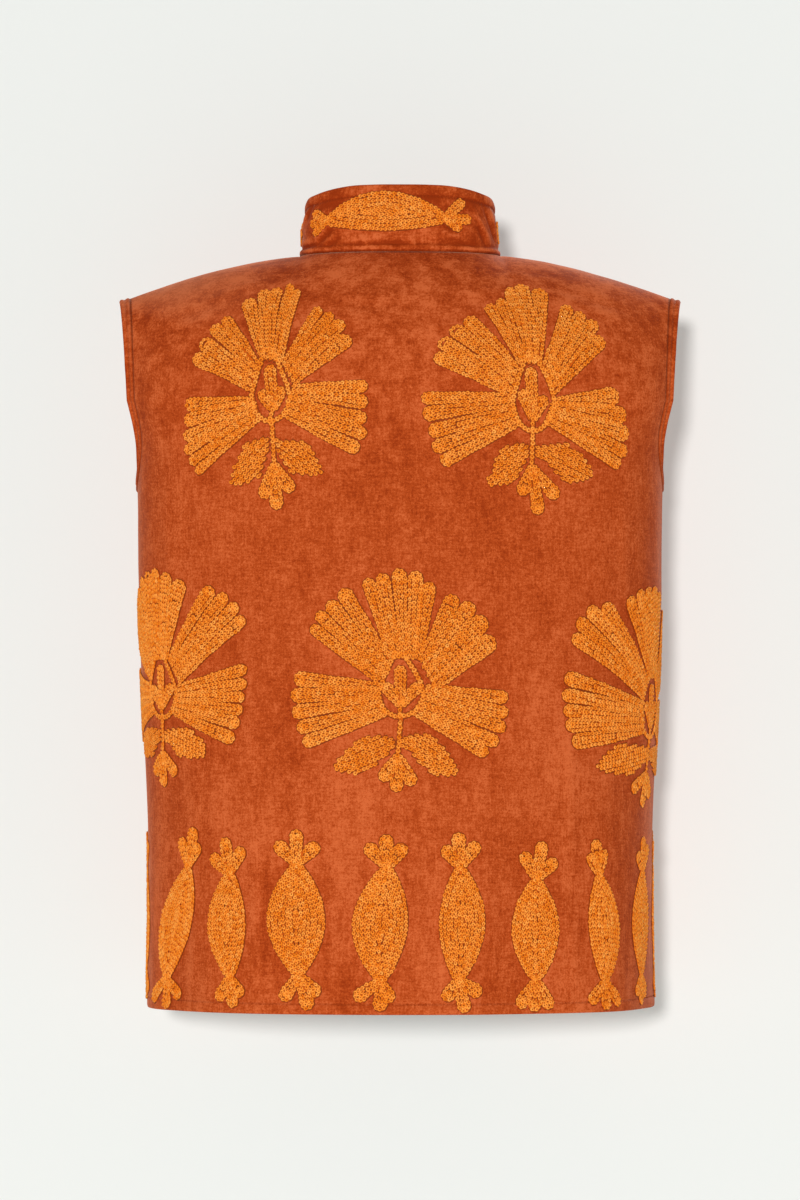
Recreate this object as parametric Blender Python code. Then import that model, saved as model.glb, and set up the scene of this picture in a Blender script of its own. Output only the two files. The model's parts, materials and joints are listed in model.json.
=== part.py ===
"""Embroidered waistcoat: a boxy sleeveless velvet jacket with a stand collar, filled out as worn.

The fronts face -Y, the back faces +Y, +X is the wearer's left, and +Z is up. The origin is the middle of
the neck at the height where the shoulder seams meet it, where the wearer's shoulders hold the garment up.
All sizes are in metres. "Outwards" is away from the wearer.
"""

import math

import bmesh
import bpy
import numpy as np
from mathutils.geometry import delaunay_2d_cdt

GARMENT = "embroidered_waistcoat"

# Cloth, seams and embroidery.
CLOTH = 0.0022  # velvet with its lining
COLLAR_CLOTH = 0.0030  # two layers of velvet
SEAM_GAP = 0.0003  # between pieces that are sewn together
YARN_LIFT = 0.0004  # between the cloth and the embroidery on it
YARN_HEIGHT = 0.0014  # chain stitches in thick wool

# Heights.
HEM_Z = -0.622
UNDERARM_Z = -0.196
YOKE_Z = -0.120  # where the armholes reach furthest into the back and the fronts

# Neck and shoulders.
NECK_HALF_WIDTH = 0.082
NECK_BACK = 0.058
NECK_FRONT = 0.076
NECK_BACK_RISE = 0.002
NECK_FRONT_DROP = 0.058
NECK_FRONT_CURVE = 1.6  # the front neckline falls slowly at the shoulder and faster at its middle
NECK_SQUARENESS = 2.3
SHOULDER_X = 0.224  # the armhole seam at the end of the shoulder
SHOULDER_DROP = 0.035
SHOULDER_CURVE = 1.5  # the shoulder falls slowly at the neck and faster at its end
ARMHOLE_BACK = 0.050
ARMHOLE_FRONT = 0.053
NECK_TURN = math.radians(58)  # how far the cloth has turned towards level at the middle of the neckline
FRONT_SLANT = 0.5  # how straight the fronts run up to the neck, where the back is round

# Half the gap between the two fronts, which meet edge to edge and aren't fastened.
OPENING_AT_NECK = 0.0006
OPENING_AT_HEM = 0.0035

# Stand collar. One row for each level of its section: share of its height, and how far it stands out.
COLLAR_BACK_HEIGHT = 0.0555
COLLAR_LEAN = 0.0040  # how far its top edge leans in
COLLAR_LEVELS = ((0.035, 0.0010), (0.085, 0.0002), (0.80, 0.0000), (0.90, 0.0006), (0.985, 0.0000))
# One row for each place round the collar: share of the way from the middle of the back to the middle of
# the front, and the collar's height there.
COLLAR_HEIGHTS = (
    (0.000, COLLAR_BACK_HEIGHT),
    (0.120, 0.0554),
    (0.215, 0.0547),
    (0.319, 0.0516),
    (0.368, 0.0494),
    (0.414, 0.0476),
    (0.500, 0.0433),
    (0.620, 0.0400),
    (0.800, 0.0384),
    (1.000, 0.0380),
)

# Armhole bands. One row for each edge along their section: share of the width, and how far it stands out.
BAND_WIDTH = 0.0088
BAND_FLARE = 0.6  # how far a band leans outwards from the line of the cloth beside it
BAND_FLARE_LOW = 0.03  # the same at the underarm
BAND_FLARE_HEIGHTS = (-0.182, -0.142)  # where the lean starts to grow, and where it is whole
BAND_LEVELS = ((0.45, 0.0004), (1.0, -0.0005))

# The grid that all the cloth is worked out on.
COLUMNS = 16  # from the middle of the back, or of a front, to the side
NECK_COLUMNS = 7  # of those, the columns that end at the neckline
LOWER_ROWS = 8
ARMHOLE_ROWS = 5
SHOULDER_ROWS = 7
YOKE_ROW = LOWER_ROWS + ARMHOLE_ROWS
BACK_HEIGHT_COLUMN = 6  # heights on the back are measured along this column
LAST_ROW = YOKE_ROW + SHOULDER_ROWS
ARC_STEPS = 300

# One row for each level of the body: its height, half width, depth of the back and of the fronts from
# the shoulder line, and squareness, which is 2 for an ellipse and more for a squarer section.
SECTIONS = (
    (-0.622, 0.2096, 0.155, 0.150, 2.12),
    (-0.480, 0.2092, 0.149, 0.146, 2.17),
    (-0.365, 0.2140, 0.140, 0.142, 2.30),
    (-0.290, 0.2165, 0.134, 0.140, 2.42),
    (-0.196, 0.2178, 0.127, 0.136, 2.55),
    (-0.154, 0.2190, 0.124, 0.131, 2.60),
    (-0.120, 0.2272, 0.122, 0.127, 2.66),
)

# Soft upright folds: where round the hem each one is, from the middle of the back towards the wearer's
# left, its half width, how far it stands out or falls in, and the height at which it has died away.
FOLDS = (
    (0.120, 0.032, 0.0030, -0.33),
    (0.060, 0.030, -0.0022, -0.36),
    (-0.040, 0.036, 0.0020, -0.38),
    (-0.105, 0.028, -0.0026, -0.34),
    (-0.178, 0.032, 0.0032, -0.30),
    (0.205, 0.030, -0.0030, -0.32),
    (0.268, 0.032, -0.0006, -0.30),
    (-0.250, 0.032, -0.0028, -0.33),
    (-0.330, 0.036, 0.0036, -0.28),
    (0.350, 0.036, -0.0030, -0.30),
    (0.425, 0.038, 0.0042, -0.28),
    (-0.420, 0.038, -0.0034, -0.30),
    (-0.495, 0.034, 0.0034, -0.34),
    (0.510, 0.034, -0.0026, -0.36),
)

# Flowers, seen from outside the garment and measured from their hearts. For each petal: where its base
# starts and ends, going clockwise, and the tips of its lobes in the same order. For each leaf, its outline.
# Then the foot and the three tips of the bud in the heart, the ends of the stalk, the three tips of the
# hanging bud, and the ring round the heart: its point, its foot, its half width and its middle.
FLOWER_FORMS = {
    "middle": {
        "petals": (
            ((-0.010, 0.031), (0.019, 0.030),
             ((-0.026, 0.093), (-0.014, 0.097), (0.000, 0.101), (0.014, 0.099), (0.025, 0.090))),
            ((0.018, 0.031), (0.033, 0.003),
             ((0.046, 0.079), (0.060, 0.073), (0.071, 0.061), (0.078, 0.044))),
            ((0.027, 0.006), (0.014, -0.020),
             ((0.090, -0.005), (0.090, -0.018), (0.088, -0.030), (0.082, -0.042), (0.073, -0.051))),
            ((-0.013, -0.021), (-0.020, 0.008),
             ((-0.079, -0.042), (-0.084, -0.030), (-0.088, -0.017), (-0.089, -0.003), (-0.086, 0.011))),
            ((-0.020, 0.009), (-0.008, 0.029),
             ((-0.072, 0.054), (-0.067, 0.065), (-0.058, 0.074), (-0.047, 0.084))),
        ),
        "leaves": (
            ((-0.002, -0.038), (-0.012, -0.035), (-0.024, -0.036), (-0.033, -0.039), (-0.041, -0.046),
             (-0.047, -0.052), (-0.054, -0.059), (-0.052, -0.065), (-0.044, -0.065), (-0.036, -0.067),
             (-0.028, -0.064), (-0.020, -0.060), (-0.012, -0.053), (-0.002, -0.045)),
            ((0.000, -0.038), (0.010, -0.034), (0.020, -0.034), (0.029, -0.037), (0.037, -0.045),
             (0.043, -0.053), (0.049, -0.064), (0.046, -0.069), (0.038, -0.068), (0.030, -0.068),
             (0.023, -0.063), (0.016, -0.058), (0.010, -0.050), (0.000, -0.044)),
        ),
        "bud": ((0.002, -0.010), (0.001, 0.022), (-0.0135, 0.007), (0.0175, 0.007)),
        "stalk": ((0.002, -0.019), (-0.001, -0.052)),
        "hanging": ((-0.0145, -0.0725), (-0.0022, -0.0815), (0.0122, -0.076)),
        "ring": ((-0.001, 0.032), (0.000, -0.020), 0.0185, 0.0018),
    },
    "left": {
        "petals": (
            ((-0.018, 0.003), (-0.013, 0.027),
             ((-0.069, 0.034), (-0.063, 0.047), (-0.054, 0.060), (-0.045, 0.067))),
            ((-0.012, 0.032), (0.009, 0.028),
             ((-0.027, 0.083), (-0.015, 0.091), (-0.005, 0.092), (0.008, 0.098), (0.017, 0.096))),
            ((0.010, 0.028), (0.021, 0.010),
             ((0.039, 0.081), (0.049, 0.077), (0.058, 0.070), (0.064, 0.055))),
            ((0.021, 0.009), (0.012, -0.018),
             ((0.079, 0.009), (0.079, -0.005), (0.078, -0.019), (0.078, -0.031), (0.072, -0.043))),
            ((-0.012, -0.021), (-0.018, -0.001),
             ((-0.067, -0.061), (-0.073, -0.053), (-0.078, -0.044),
              (-0.078, -0.033), (-0.077, -0.020), (-0.075, -0.007))),
        ),
        "leaves": (
            ((0.000, -0.031), (-0.012, -0.034), (-0.022, -0.037), (-0.025, -0.042), (-0.029, -0.050),
             (-0.033, -0.058), (-0.036, -0.069), (-0.031, -0.071), (-0.024, -0.070), (-0.016, -0.066),
             (-0.009, -0.063), (-0.006, -0.052), (0.001, -0.042)),
            ((0.001, -0.031), (0.009, -0.035), (0.018, -0.035), (0.026, -0.036), (0.033, -0.042),
             (0.037, -0.049), (0.040, -0.055), (0.043, -0.061), (0.034, -0.063), (0.024, -0.062),
             (0.016, -0.061), (0.010, -0.054), (0.004, -0.043)),
        ),
        "bud": ((0.001, -0.010), (-0.0022, 0.0235), (-0.010, 0.004), (0.009, 0.007)),
        "stalk": ((0.000, -0.020), (0.002, -0.054)),
        "hanging": ((-0.008, -0.081), (0.004, -0.090), (0.017, -0.076)),
        "ring": ((-0.007, 0.035), (-0.002, -0.020), 0.016, -0.001),
    },
    "right": {
        "petals": (
            ((-0.021, 0.002), (-0.013, 0.027),
             ((-0.081, 0.041), (-0.077, 0.055), (-0.067, 0.067), (-0.055, 0.075))),
            ((-0.013, 0.030), (0.008, 0.030),
             ((-0.036, 0.086), (-0.025, 0.089), (-0.014, 0.097), (-0.001, 0.098), (0.014, 0.095))),
            ((0.010, 0.028), (0.020, 0.005),
             ((0.036, 0.080), (0.047, 0.075), (0.057, 0.068), (0.062, 0.053))),
            ((0.020, 0.001), (0.012, -0.020),
             ((0.075, 0.003), (0.083, -0.013), (0.087, -0.028), (0.086, -0.042), (0.079, -0.052))),
            ((-0.013, -0.022), (-0.021, 0.005),
             ((-0.076, -0.050), (-0.083, -0.039), (-0.086, -0.026), (-0.091, -0.012), (-0.092, 0.001))),
        ),
        "leaves": (
            ((-0.001, -0.035), (-0.010, -0.034), (-0.023, -0.037), (-0.027, -0.041), (-0.032, -0.047),
             (-0.034, -0.057), (-0.039, -0.064), (-0.035, -0.069), (-0.026, -0.067), (-0.015, -0.067),
             (-0.009, -0.055), (-0.001, -0.044)),
            ((-0.001, -0.037), (0.008, -0.036), (0.016, -0.035), (0.029, -0.034), (0.033, -0.038),
             (0.041, -0.042), (0.048, -0.050), (0.052, -0.057), (0.052, -0.061), (0.044, -0.064),
             (0.031, -0.066), (0.021, -0.060), (0.012, -0.050), (-0.001, -0.044)),
        ),
        "bud": ((0.000, -0.015), (-0.0016, 0.0246), (-0.0098, 0.0078), (0.0104, 0.003)),
        "stalk": ((0.000, -0.022), (-0.001, -0.053)),
        "hanging": ((-0.010, -0.076), (0.005, -0.091), (0.021, -0.078)),
        "ring": ((-0.0025, 0.0355), (0.000, -0.025), 0.0172, 0.0005),
    },
    "side_left": {
        "petals": (
            ((-0.012, 0.028), (0.013, 0.029),
             ((-0.031, 0.093), (-0.016, 0.098), (-0.002, 0.100), (0.014, 0.097), (0.030, 0.091))),
            ((0.014, 0.028), (0.029, 0.007),
             ((0.061, 0.085), (0.074, 0.079), (0.084, 0.071), (0.090, 0.060))),
            ((0.024, 0.004), (0.017, -0.020),
             ((0.092, 0.018), (0.092, 0.006), (0.090, -0.005),
              (0.088, -0.016), (0.085, -0.027), (0.080, -0.040))),
            ((-0.014, -0.020), (-0.021, 0.006),
             ((-0.080, -0.040), (-0.085, -0.028), (-0.088, -0.015), (-0.089, -0.002), (-0.087, 0.012))),
            ((-0.020, 0.009), (-0.011, 0.027),
             ((-0.072, 0.056), (-0.067, 0.066), (-0.058, 0.075), (-0.047, 0.084))),
        ),
        "leaves": (
            ((-0.002, -0.033), (-0.016, -0.031), (-0.032, -0.032), (-0.042, -0.037), (-0.050, -0.043),
             (-0.050, -0.054), (-0.040, -0.056), (-0.029, -0.055), (-0.018, -0.054), (-0.009, -0.045),
             (-0.002, -0.040)),
            ((0.001, -0.033), (0.018, -0.031), (0.033, -0.031), (0.044, -0.037), (0.052, -0.043),
             (0.052, -0.054), (0.041, -0.056), (0.030, -0.055), (0.019, -0.054), (0.010, -0.045),
             (0.001, -0.040)),
        ),
        "bud": ((0.000, -0.014), (0.0014, 0.0215), (-0.014, 0.004), (0.017, 0.005)),
        "stalk": ((0.001, -0.020), (-0.001, -0.052)),
        "hanging": ((-0.017, -0.070), (-0.0025, -0.080), (0.017, -0.0696)),
        "ring": ((-0.001, 0.0315), (0.001, -0.023), 0.020, 0.001),
    },
    "side_right": {
        "petals": (
            ((-0.021, 0.008), (-0.012, 0.026),
             ((-0.099, 0.060), (-0.095, 0.073), (-0.085, 0.083), (-0.070, 0.086))),
            ((-0.011, 0.028), (0.011, 0.028),
             ((-0.042, 0.092), (-0.028, 0.098), (-0.014, 0.100), (0.000, 0.101), (0.014, 0.096))),
            ((0.012, 0.028), (0.022, 0.008),
             ((0.047, 0.080), (0.059, 0.074), (0.069, 0.063), (0.074, 0.050))),
            ((0.021, 0.004), (0.015, -0.020),
             ((0.088, 0.002), (0.090, -0.012), (0.088, -0.026), (0.082, -0.040))),
            ((-0.016, -0.021), (-0.019, 0.006),
             ((-0.099, -0.027), (-0.105, -0.013), (-0.107, -0.001), (-0.108, 0.012), (-0.106, 0.026))),
        ),
        "leaves": (
            ((-0.002, -0.033), (-0.014, -0.031), (-0.029, -0.030), (-0.045, -0.029), (-0.059, -0.033),
             (-0.068, -0.039), (-0.076, -0.048), (-0.065, -0.052), (-0.049, -0.054), (-0.030, -0.054),
             (-0.016, -0.048), (-0.002, -0.041)),
            ((0.000, -0.034), (0.014, -0.032), (0.029, -0.032), (0.042, -0.036), (0.052, -0.043),
             (0.056, -0.052), (0.046, -0.056), (0.031, -0.056), (0.018, -0.052), (0.008, -0.045),
             (0.000, -0.041)),
        ),
        "bud": ((0.000, -0.015), (0.000, 0.0205), (-0.0115, 0.0055), (0.0115, 0.0055)),
        "stalk": ((0.000, -0.022), (-0.004, -0.054)),
        "hanging": ((-0.030, -0.068), (-0.009, -0.082), (0.009, -0.075)),
        "ring": ((0.000, 0.033), (0.000, -0.0245), 0.0198, 0.000),
    },
}
PETAL_REACH = 0.0030  # how far the petals run in under the ring
BUD_WIDTHS = (0.0040, 0.0047)  # half widths of a lobe where it starts and near its tip
HANGING_WIDTHS = (0.0036, 0.0058)
STALK_WIDTH = 0.0022
RING_YARN = 0.0046
RING_STEPS = 10
RING_SHOULDER = 0.50  # how much narrower the upper half of the ring is than an ellipse
SMALLEST_HOLE = 2.2e-4  # square metres; smaller gaps between the pieces of a motif are filled
CUT_SCALE = 1000  # outlines are joined in millimetres
CUT_CLOSE = 1e-4  # and points this close, in millimetres, count as one

# Pods: a spindle with a crown of three lobes above it and a tail of three below. One entry for each form:
# the ends of the spindle, how far it reaches to the left and right, the tips of the crown and of the tail,
# and the half width of the lobes near their tips.
POD_FORMS = {
    "hem_01": ((0.0074, 0.046), (0.0025, -0.0449), (-0.0211, 0.0245),
        ((-0.0097, 0.0655), (0.0066, 0.0736), (0.0221, 0.0655)),
        ((-0.0195, -0.0612), (0.0017, -0.0709), (0.0107, -0.0636)), 0.0062),
    "hem_02": ((0.0022, 0.0452), (0.003, -0.0435), (-0.0233, 0.0256),
        ((-0.0157, 0.0637), (0.0015, 0.0744), (0.0199, 0.0632)),
        ((-0.0099, -0.0656), (0.0123, -0.0727), (0.0206, -0.0612)), 0.0062),
    "hem_03": ((0.0064, 0.0402), (0.006, -0.0431), (-0.017, 0.0208),
        ((-0.0132, 0.0554), (0.001, 0.0703), (0.0188, 0.0624)),
        ((-0.007, -0.0638), (0.0097, -0.0691), (0.0182, -0.060)), 0.0060),
    "hem_04": ((0.0218, 0.0402), (-0.0109, -0.0502), (-0.0196, 0.026),
        ((0.0137, 0.0655), (0.0309, 0.074), (0.0362, 0.061)),
        ((-0.0375, -0.0702), (-0.0114, -0.0765), (0.0087, -0.0668)), 0.0062),
    "hem_10": ((0.000, 0.0449), (-0.0017, -0.0452), (-0.0172, 0.0207),
        ((-0.014, 0.0628), (-0.0017, 0.0742), (0.0148, 0.066)),
        ((-0.0132, -0.063), (0.0041, -0.0729), (0.0174, -0.0584)), 0.0060),
    "hem_11": ((0.0032, 0.0377), (0.0034, -0.043), (-0.0185, 0.0234),
        ((-0.0092, 0.0606), (0.0084, 0.0694), (0.0212, 0.0546)),
        ((-0.0124, -0.0663), (0.0017, -0.0698), (0.0162, -0.0677)), 0.0060),
    "hem_12": ((-0.002, 0.038), (0.0033, -0.0472), (-0.0132, 0.0222),
        ((-0.0128, 0.057), (-0.0068, 0.0684), (0.0032, 0.060)),
        ((-0.0128, -0.0664), (0.0047, -0.0718), (0.0217, -0.0683)), 0.0056),
    "hem_13": ((0.000, 0.040), (0.000, -0.044), (-0.0212, 0.021),
        ((-0.012, 0.056), (0.0005, 0.069), (0.014, 0.062)),
        ((-0.013, -0.062), (0.0005, -0.070), (0.013, -0.063)), 0.0060),
    "plain": ((0.000, 0.043), (0.000, -0.043), (-0.0216, 0.0216),
        ((-0.016, 0.063), (0.001, 0.072), (0.016, 0.063)),
        ((-0.015, -0.061), (0.0005, -0.0695), (0.014, -0.062)), 0.0062),
    "collar": ((-0.0005, 0.050), (-0.0005, -0.050), (-0.0225, 0.0105),
        ((-0.0175, 0.0695), (-0.001, 0.0755), (0.0085, 0.066)),
        ((-0.0115, -0.069), (-0.0005, -0.072), (0.0105, -0.0665)), 0.0046),
}
POD_END = 0.0045  # half width of the spindle at its ends
POD_FULLNESS = 0.85
POD_STEPS = 5
POD_LOBE_START = 0.0032

# Where the motifs are: the form, the surface, the distance along it from its middle, anticlockwise as seen
# from above, the height, the scales towards the right, the left, up and down as seen from outside, and the
# lean in degrees.
FLOWERS = {
    "flower_back_middle": ("middle", "ring", 0.001, -0.360, 1.00, 1.00, 1.00, 1.00, 0),
    "flower_side_left": ("side_left", "ring", 0.2184, -0.359, 1.00, 1.00, 1.00, 1.00, 0),
    "flower_side_right": ("side_right", "ring", -0.2425, -0.374, 1.00, 1.00, 1.00, 1.00, 0),
    "flower_back_left": ("left", "back", 0.105, -0.118, 1.00, 1.00, 1.04, 1.04, 0),
    "flower_back_right": ("right", "back", -0.109, -0.121, 1.00, 1.00, 1.04, 1.04, 0),
}
PODS = {
    "pod_hem_01": ("hem_01", "ring", 0.018, -0.549, 1.00, 1.00, 1.00, 1.00, 0),
    "pod_hem_02": ("hem_02", "ring", 0.087, -0.546, 1.00, 1.00, 1.00, 1.00, 0),
    "pod_hem_03": ("hem_03", "ring", 0.150, -0.549, 1.00, 1.00, 1.00, 1.00, 0),
    "pod_hem_04": ("hem_04", "ring", 0.212, -0.545, 1.00, 1.00, 1.00, 1.00, 0),
    "pod_hem_05": ("plain", "ring", 0.280, -0.548, 0.96, 0.96, 1.00, 0.98, 0),
    "pod_hem_06": ("plain", "ring", 0.343, -0.548, 0.98, 0.98, 1.00, 0.98, 0),
    "pod_hem_07": ("plain", "ring", 0.410, -0.548, 0.98, 0.98, 1.00, 0.98, 1),
    "pod_hem_08": ("plain", "ring", 0.477, -0.548, 0.98, 0.98, 1.00, 0.98, 0),
    "pod_hem_09": ("plain", "ring", 0.543, -0.548, 0.98, 0.98, 1.00, 0.98, 0),
    "pod_hem_10": ("hem_10", "ring", -0.049, -0.548, 1.00, 1.00, 1.00, 1.00, 0),
    "pod_hem_11": ("hem_11", "ring", -0.111, -0.551, 1.00, 1.00, 1.00, 1.00, 0),
    "pod_hem_12": ("hem_12", "ring", -0.175, -0.549, 1.00, 1.00, 1.00, 1.00, 0),
    "pod_hem_13": ("hem_13", "ring", -0.240, -0.549, 1.00, 1.00, 1.00, 1.00, 0),
    "pod_hem_14": ("plain", "ring", -0.306, -0.548, 0.98, 0.98, 1.00, 0.98, 0),
    "pod_hem_15": ("plain", "ring", -0.371, -0.548, 0.98, 0.98, 1.00, 0.98, 0),
    "pod_hem_16": ("plain", "ring", -0.436, -0.548, 0.98, 0.98, 1.00, 0.98, 1),
    "pod_hem_17": ("plain", "ring", -0.500, -0.548, 0.98, 0.98, 1.00, 0.98, 0),
    "pod_collar_back": ("collar", "collar", 0.013, 0.0275, 1.00, 1.00, 1.00, 1.00, -90),
    "pod_collar_left": ("plain", "collar", 0.160, 0.024, 0.66, 0.66, 0.74, 0.74, -90),
    "pod_collar_right": ("plain", "collar", -0.150, 0.024, 0.66, 0.66, 0.74, 0.74, -90),
}

MATERIALS = {
    "velvet": ((0.52, 0.135, 0.042, 1.0), 0.75),
    "embroidery": ((0.86, 0.34, 0.06, 1.0), 0.85),
}


def smooth(at, places, values):
    """The value at a place, on a smooth curve through the values at the places given."""
    slopes = np.gradient(values, places)
    i = int(np.clip(np.searchsorted(places, at) - 1, 0, len(places) - 2))
    step = places[i + 1] - places[i]
    t = (at - places[i]) / step
    return (
        values[i] * (1 + 2 * t) * (1 - t) ** 2
        + values[i + 1] * t * t * (3 - 2 * t)
        + step * t * (1 - t) * (slopes[i] * (1 - t) - slopes[i + 1] * t)
    )


def quarter(z, front):
    """X, Y and length along a quarter of the body's section at a height, from its middle to its side."""
    table = np.array(SECTIONS)
    values = [smooth(z, table[:, 0], table[:, k]) for k in range(1, 5)]
    half_width, back_depth, front_depth, squareness = values
    angle = np.linspace(0, math.pi / 2, ARC_STEPS)
    x = half_width * np.sin(angle) ** (2 / squareness)
    y = (front_depth if front else back_depth) * np.cos(angle) ** (2 / squareness)
    return x, y, np.concatenate([[0], np.cumsum(np.hypot(np.diff(x), np.diff(y)))])


def neckline(front):
    """Points of half the neckline on the wearer's left, from its middle to the shoulder seam."""
    depth = NECK_FRONT if front else NECK_BACK
    angle = np.linspace(0, math.pi / 2, ARC_STEPS)
    x = NECK_HALF_WIDTH * np.sin(angle) ** (2 / NECK_SQUARENESS)
    y = depth * np.cos(angle) ** (2 / NECK_SQUARENESS)
    length = np.concatenate([[0], np.cumsum(np.hypot(np.diff(x), np.diff(y)))])
    start = np.interp(OPENING_AT_NECK, x, length) if front else 0.0
    at = np.linspace(start, length[-1], NECK_COLUMNS + 1)
    x, y = np.interp(at, length, x), np.interp(at, length, y)
    z = -NECK_FRONT_DROP * (y / depth) ** NECK_FRONT_CURVE if front else NECK_BACK_RISE * y / depth
    return np.stack([x, -y if front else y, z], axis=1)


def quarter_cloth(front):
    """The grid of points of half the back, or one front, on the wearer's left, from the middle outwards
    and from the hem up."""
    points = np.zeros((COLUMNS + 1, LAST_ROW + 1, 3))
    reach, out = (ARMHOLE_FRONT, -1) if front else (ARMHOLE_BACK, 1)
    for row in range(YOKE_ROW + 1):
        turn = math.pi / 2 * max(0, row - LOWER_ROWS) / ARMHOLE_ROWS
        z = YOKE_Z + (UNDERARM_Z - YOKE_Z) * math.cos(turn)
        if row < LOWER_ROWS:
            z = HEM_Z + (UNDERARM_Z - HEM_Z) * row / LOWER_ROWS
        x, y, length = quarter(z, front)
        opening = np.interp(z, (HEM_Z, 0), (OPENING_AT_HEM, OPENING_AT_NECK)) if front else 0.0
        last = np.interp(-reach * math.sin(turn), -y, length)
        at = np.linspace(np.interp(opening, x, length), last, COLUMNS + 1)
        points[:, row, 0] = np.interp(at, length, x)
        points[:, row, 1] = out * np.interp(at, length, y)
        points[:, row, 2] = z
    neck = neckline(front)
    for column in range(COLUMNS + 1):
        beyond = (column - NECK_COLUMNS) / (COLUMNS - NECK_COLUMNS)
        if beyond <= 0:
            top = neck[column]
            turn = NECK_TURN + (math.pi / 2 - NECK_TURN) * (column / NECK_COLUMNS) ** 1.5
        else:
            out_x = NECK_HALF_WIDTH + (SHOULDER_X - NECK_HALF_WIDTH) * beyond
            top = (out_x, 0, -SHOULDER_DROP * beyond**SHOULDER_CURVE)
            turn = math.pi / 2
        slant = FRONT_SLANT * min(1.0, 1 - beyond) if front else 0.0
        foot = points[column, YOKE_ROW]
        for row in range(YOKE_ROW + 1, LAST_ROW + 1):
            share = (row - YOKE_ROW) / SHOULDER_ROWS
            angle = turn * share
            sideways = (1 - math.cos(angle)) / (1 - math.cos(turn))
            up = math.sin(angle) / math.sin(turn)
            sideways, up = (slant * share + (1 - slant) * reach for reach in (sideways, up))
            points[column, row] = foot + (np.array(top) - foot) * (share, sideways, up)
    return points


def shared_normals(grids):
    """Outward normals of all the grids' points. Points that two grids share get the same normal."""
    gathered = {}
    faces = {}
    for name, points in grids.items():
        diagonals = np.cross(points[1:, 1:] - points[:-1, :-1], points[:-1, 1:] - points[1:, :-1])
        middles = (points[1:, 1:] + points[:-1, :-1] + points[:-1, 1:] + points[1:, :-1]) / 4
        outwards = middles * (1, 1, 0) + (0, 0, 0.12)
        diagonals *= np.sign((diagonals * outwards).sum(axis=2))[..., None]
        faces[name] = diagonals
    for name, points in grids.items():
        total = np.zeros_like(points)
        for i, j in ((0, 0), (0, 1), (1, 0), (1, 1)):
            total[i : points.shape[0] - 1 + i, j : points.shape[1] - 1 + j] += faces[name]
        for key, normal in zip(np.round(points, 6).reshape(-1, 3), total.reshape(-1, 3)):
            gathered.setdefault(tuple(key + 0.0), np.zeros(3))
            gathered[tuple(key + 0.0)] += normal
    normals = {}
    for name, points in grids.items():
        sums = np.array([gathered[tuple(key + 0.0)] for key in np.round(points, 6).reshape(-1, 3)])
        normals[name] = (sums / np.linalg.norm(sums, axis=1)[:, None]).reshape(points.shape)
    return normals


def cloth_grids():
    """The four quarters of the body without folds, the same with them, and the latter's normals."""
    flat = {}
    for front in (False, True):
        points = quarter_cloth(front)
        name = "front" if front else "back"
        flat[name, 1] = points
        flat[name, -1] = points * (-1, 1, 1)
    normals = shared_normals(flat)
    folded = {key: points.copy() for key, points in flat.items()}
    for (name, side), points in folded.items():
        for row in range(LOWER_ROWS + 1):
            z = points[0, row, 2]
            round_body = side * ring_lengths(name, row, flat)
            for place, half_width, height, top in FOLDS:
                swell = height * max(0.0, (top - z) / (top - HEM_Z)) ** 1.3
                bump = swell * np.exp(-(((round_body - place) / half_width) ** 2))
                points[:, row] += normals[name, side][:, row] * bump[:, None]
    return flat, folded, shared_normals(folded)


def lengths_along(points):
    """The distance of each point of a line from its first."""
    return np.concatenate([[0], np.cumsum(np.linalg.norm(np.diff(points, axis=0), axis=1))])


def ring_lengths(name, row, flat):
    """How far round the body the points of a row are from the middle of the back."""
    back = lengths_along(flat["back", 1][:, row])
    if name == "back":
        return back
    front = lengths_along(flat["front", 1][:, row])
    return back[-1] + front[-1] - front


class Surface:
    """A grid of cloth that motifs are laid on: its points and normals, how far along each one is, the
    height of each row, and the row from which its facets are twisted."""

    def __init__(self, points, normals, along, heights, twisted=99):
        self.points, self.normals = points, normals
        self.along, self.heights, self.twisted = along, heights, twisted

    def place(self, along, height):
        """The column and the row, with fractions, at a distance along the cloth and a height on it."""
        row = float(np.interp(height, self.heights, range(len(self.heights))))
        low = min(int(row), len(self.heights) - 2)
        line = self.along[:, low] * (1 - row + low) + self.along[:, low + 1] * (row - low)
        return float(np.interp(along, line, range(len(line)))), row

    def point(self, column, row, lift):
        """The point of the cloth's facets at a column and a row, moved outwards by the lift."""
        i, j = min(int(column), self.points.shape[0] - 2), min(int(row), self.points.shape[1] - 2)
        u, v = column - i, row - j
        third = (i + 1, j, u - v) if u > v else (i, j + 1, v - u)
        corners = ((i, j, 1 - max(u, v)), third, (i + 1, j + 1, min(u, v)))
        middle = sum(self.points[a, b] * share for a, b, share in corners)
        normal = sum(self.normals[a, b] * share for a, b, share in corners)
        return middle + normal * lift / np.linalg.norm(normal)


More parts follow.
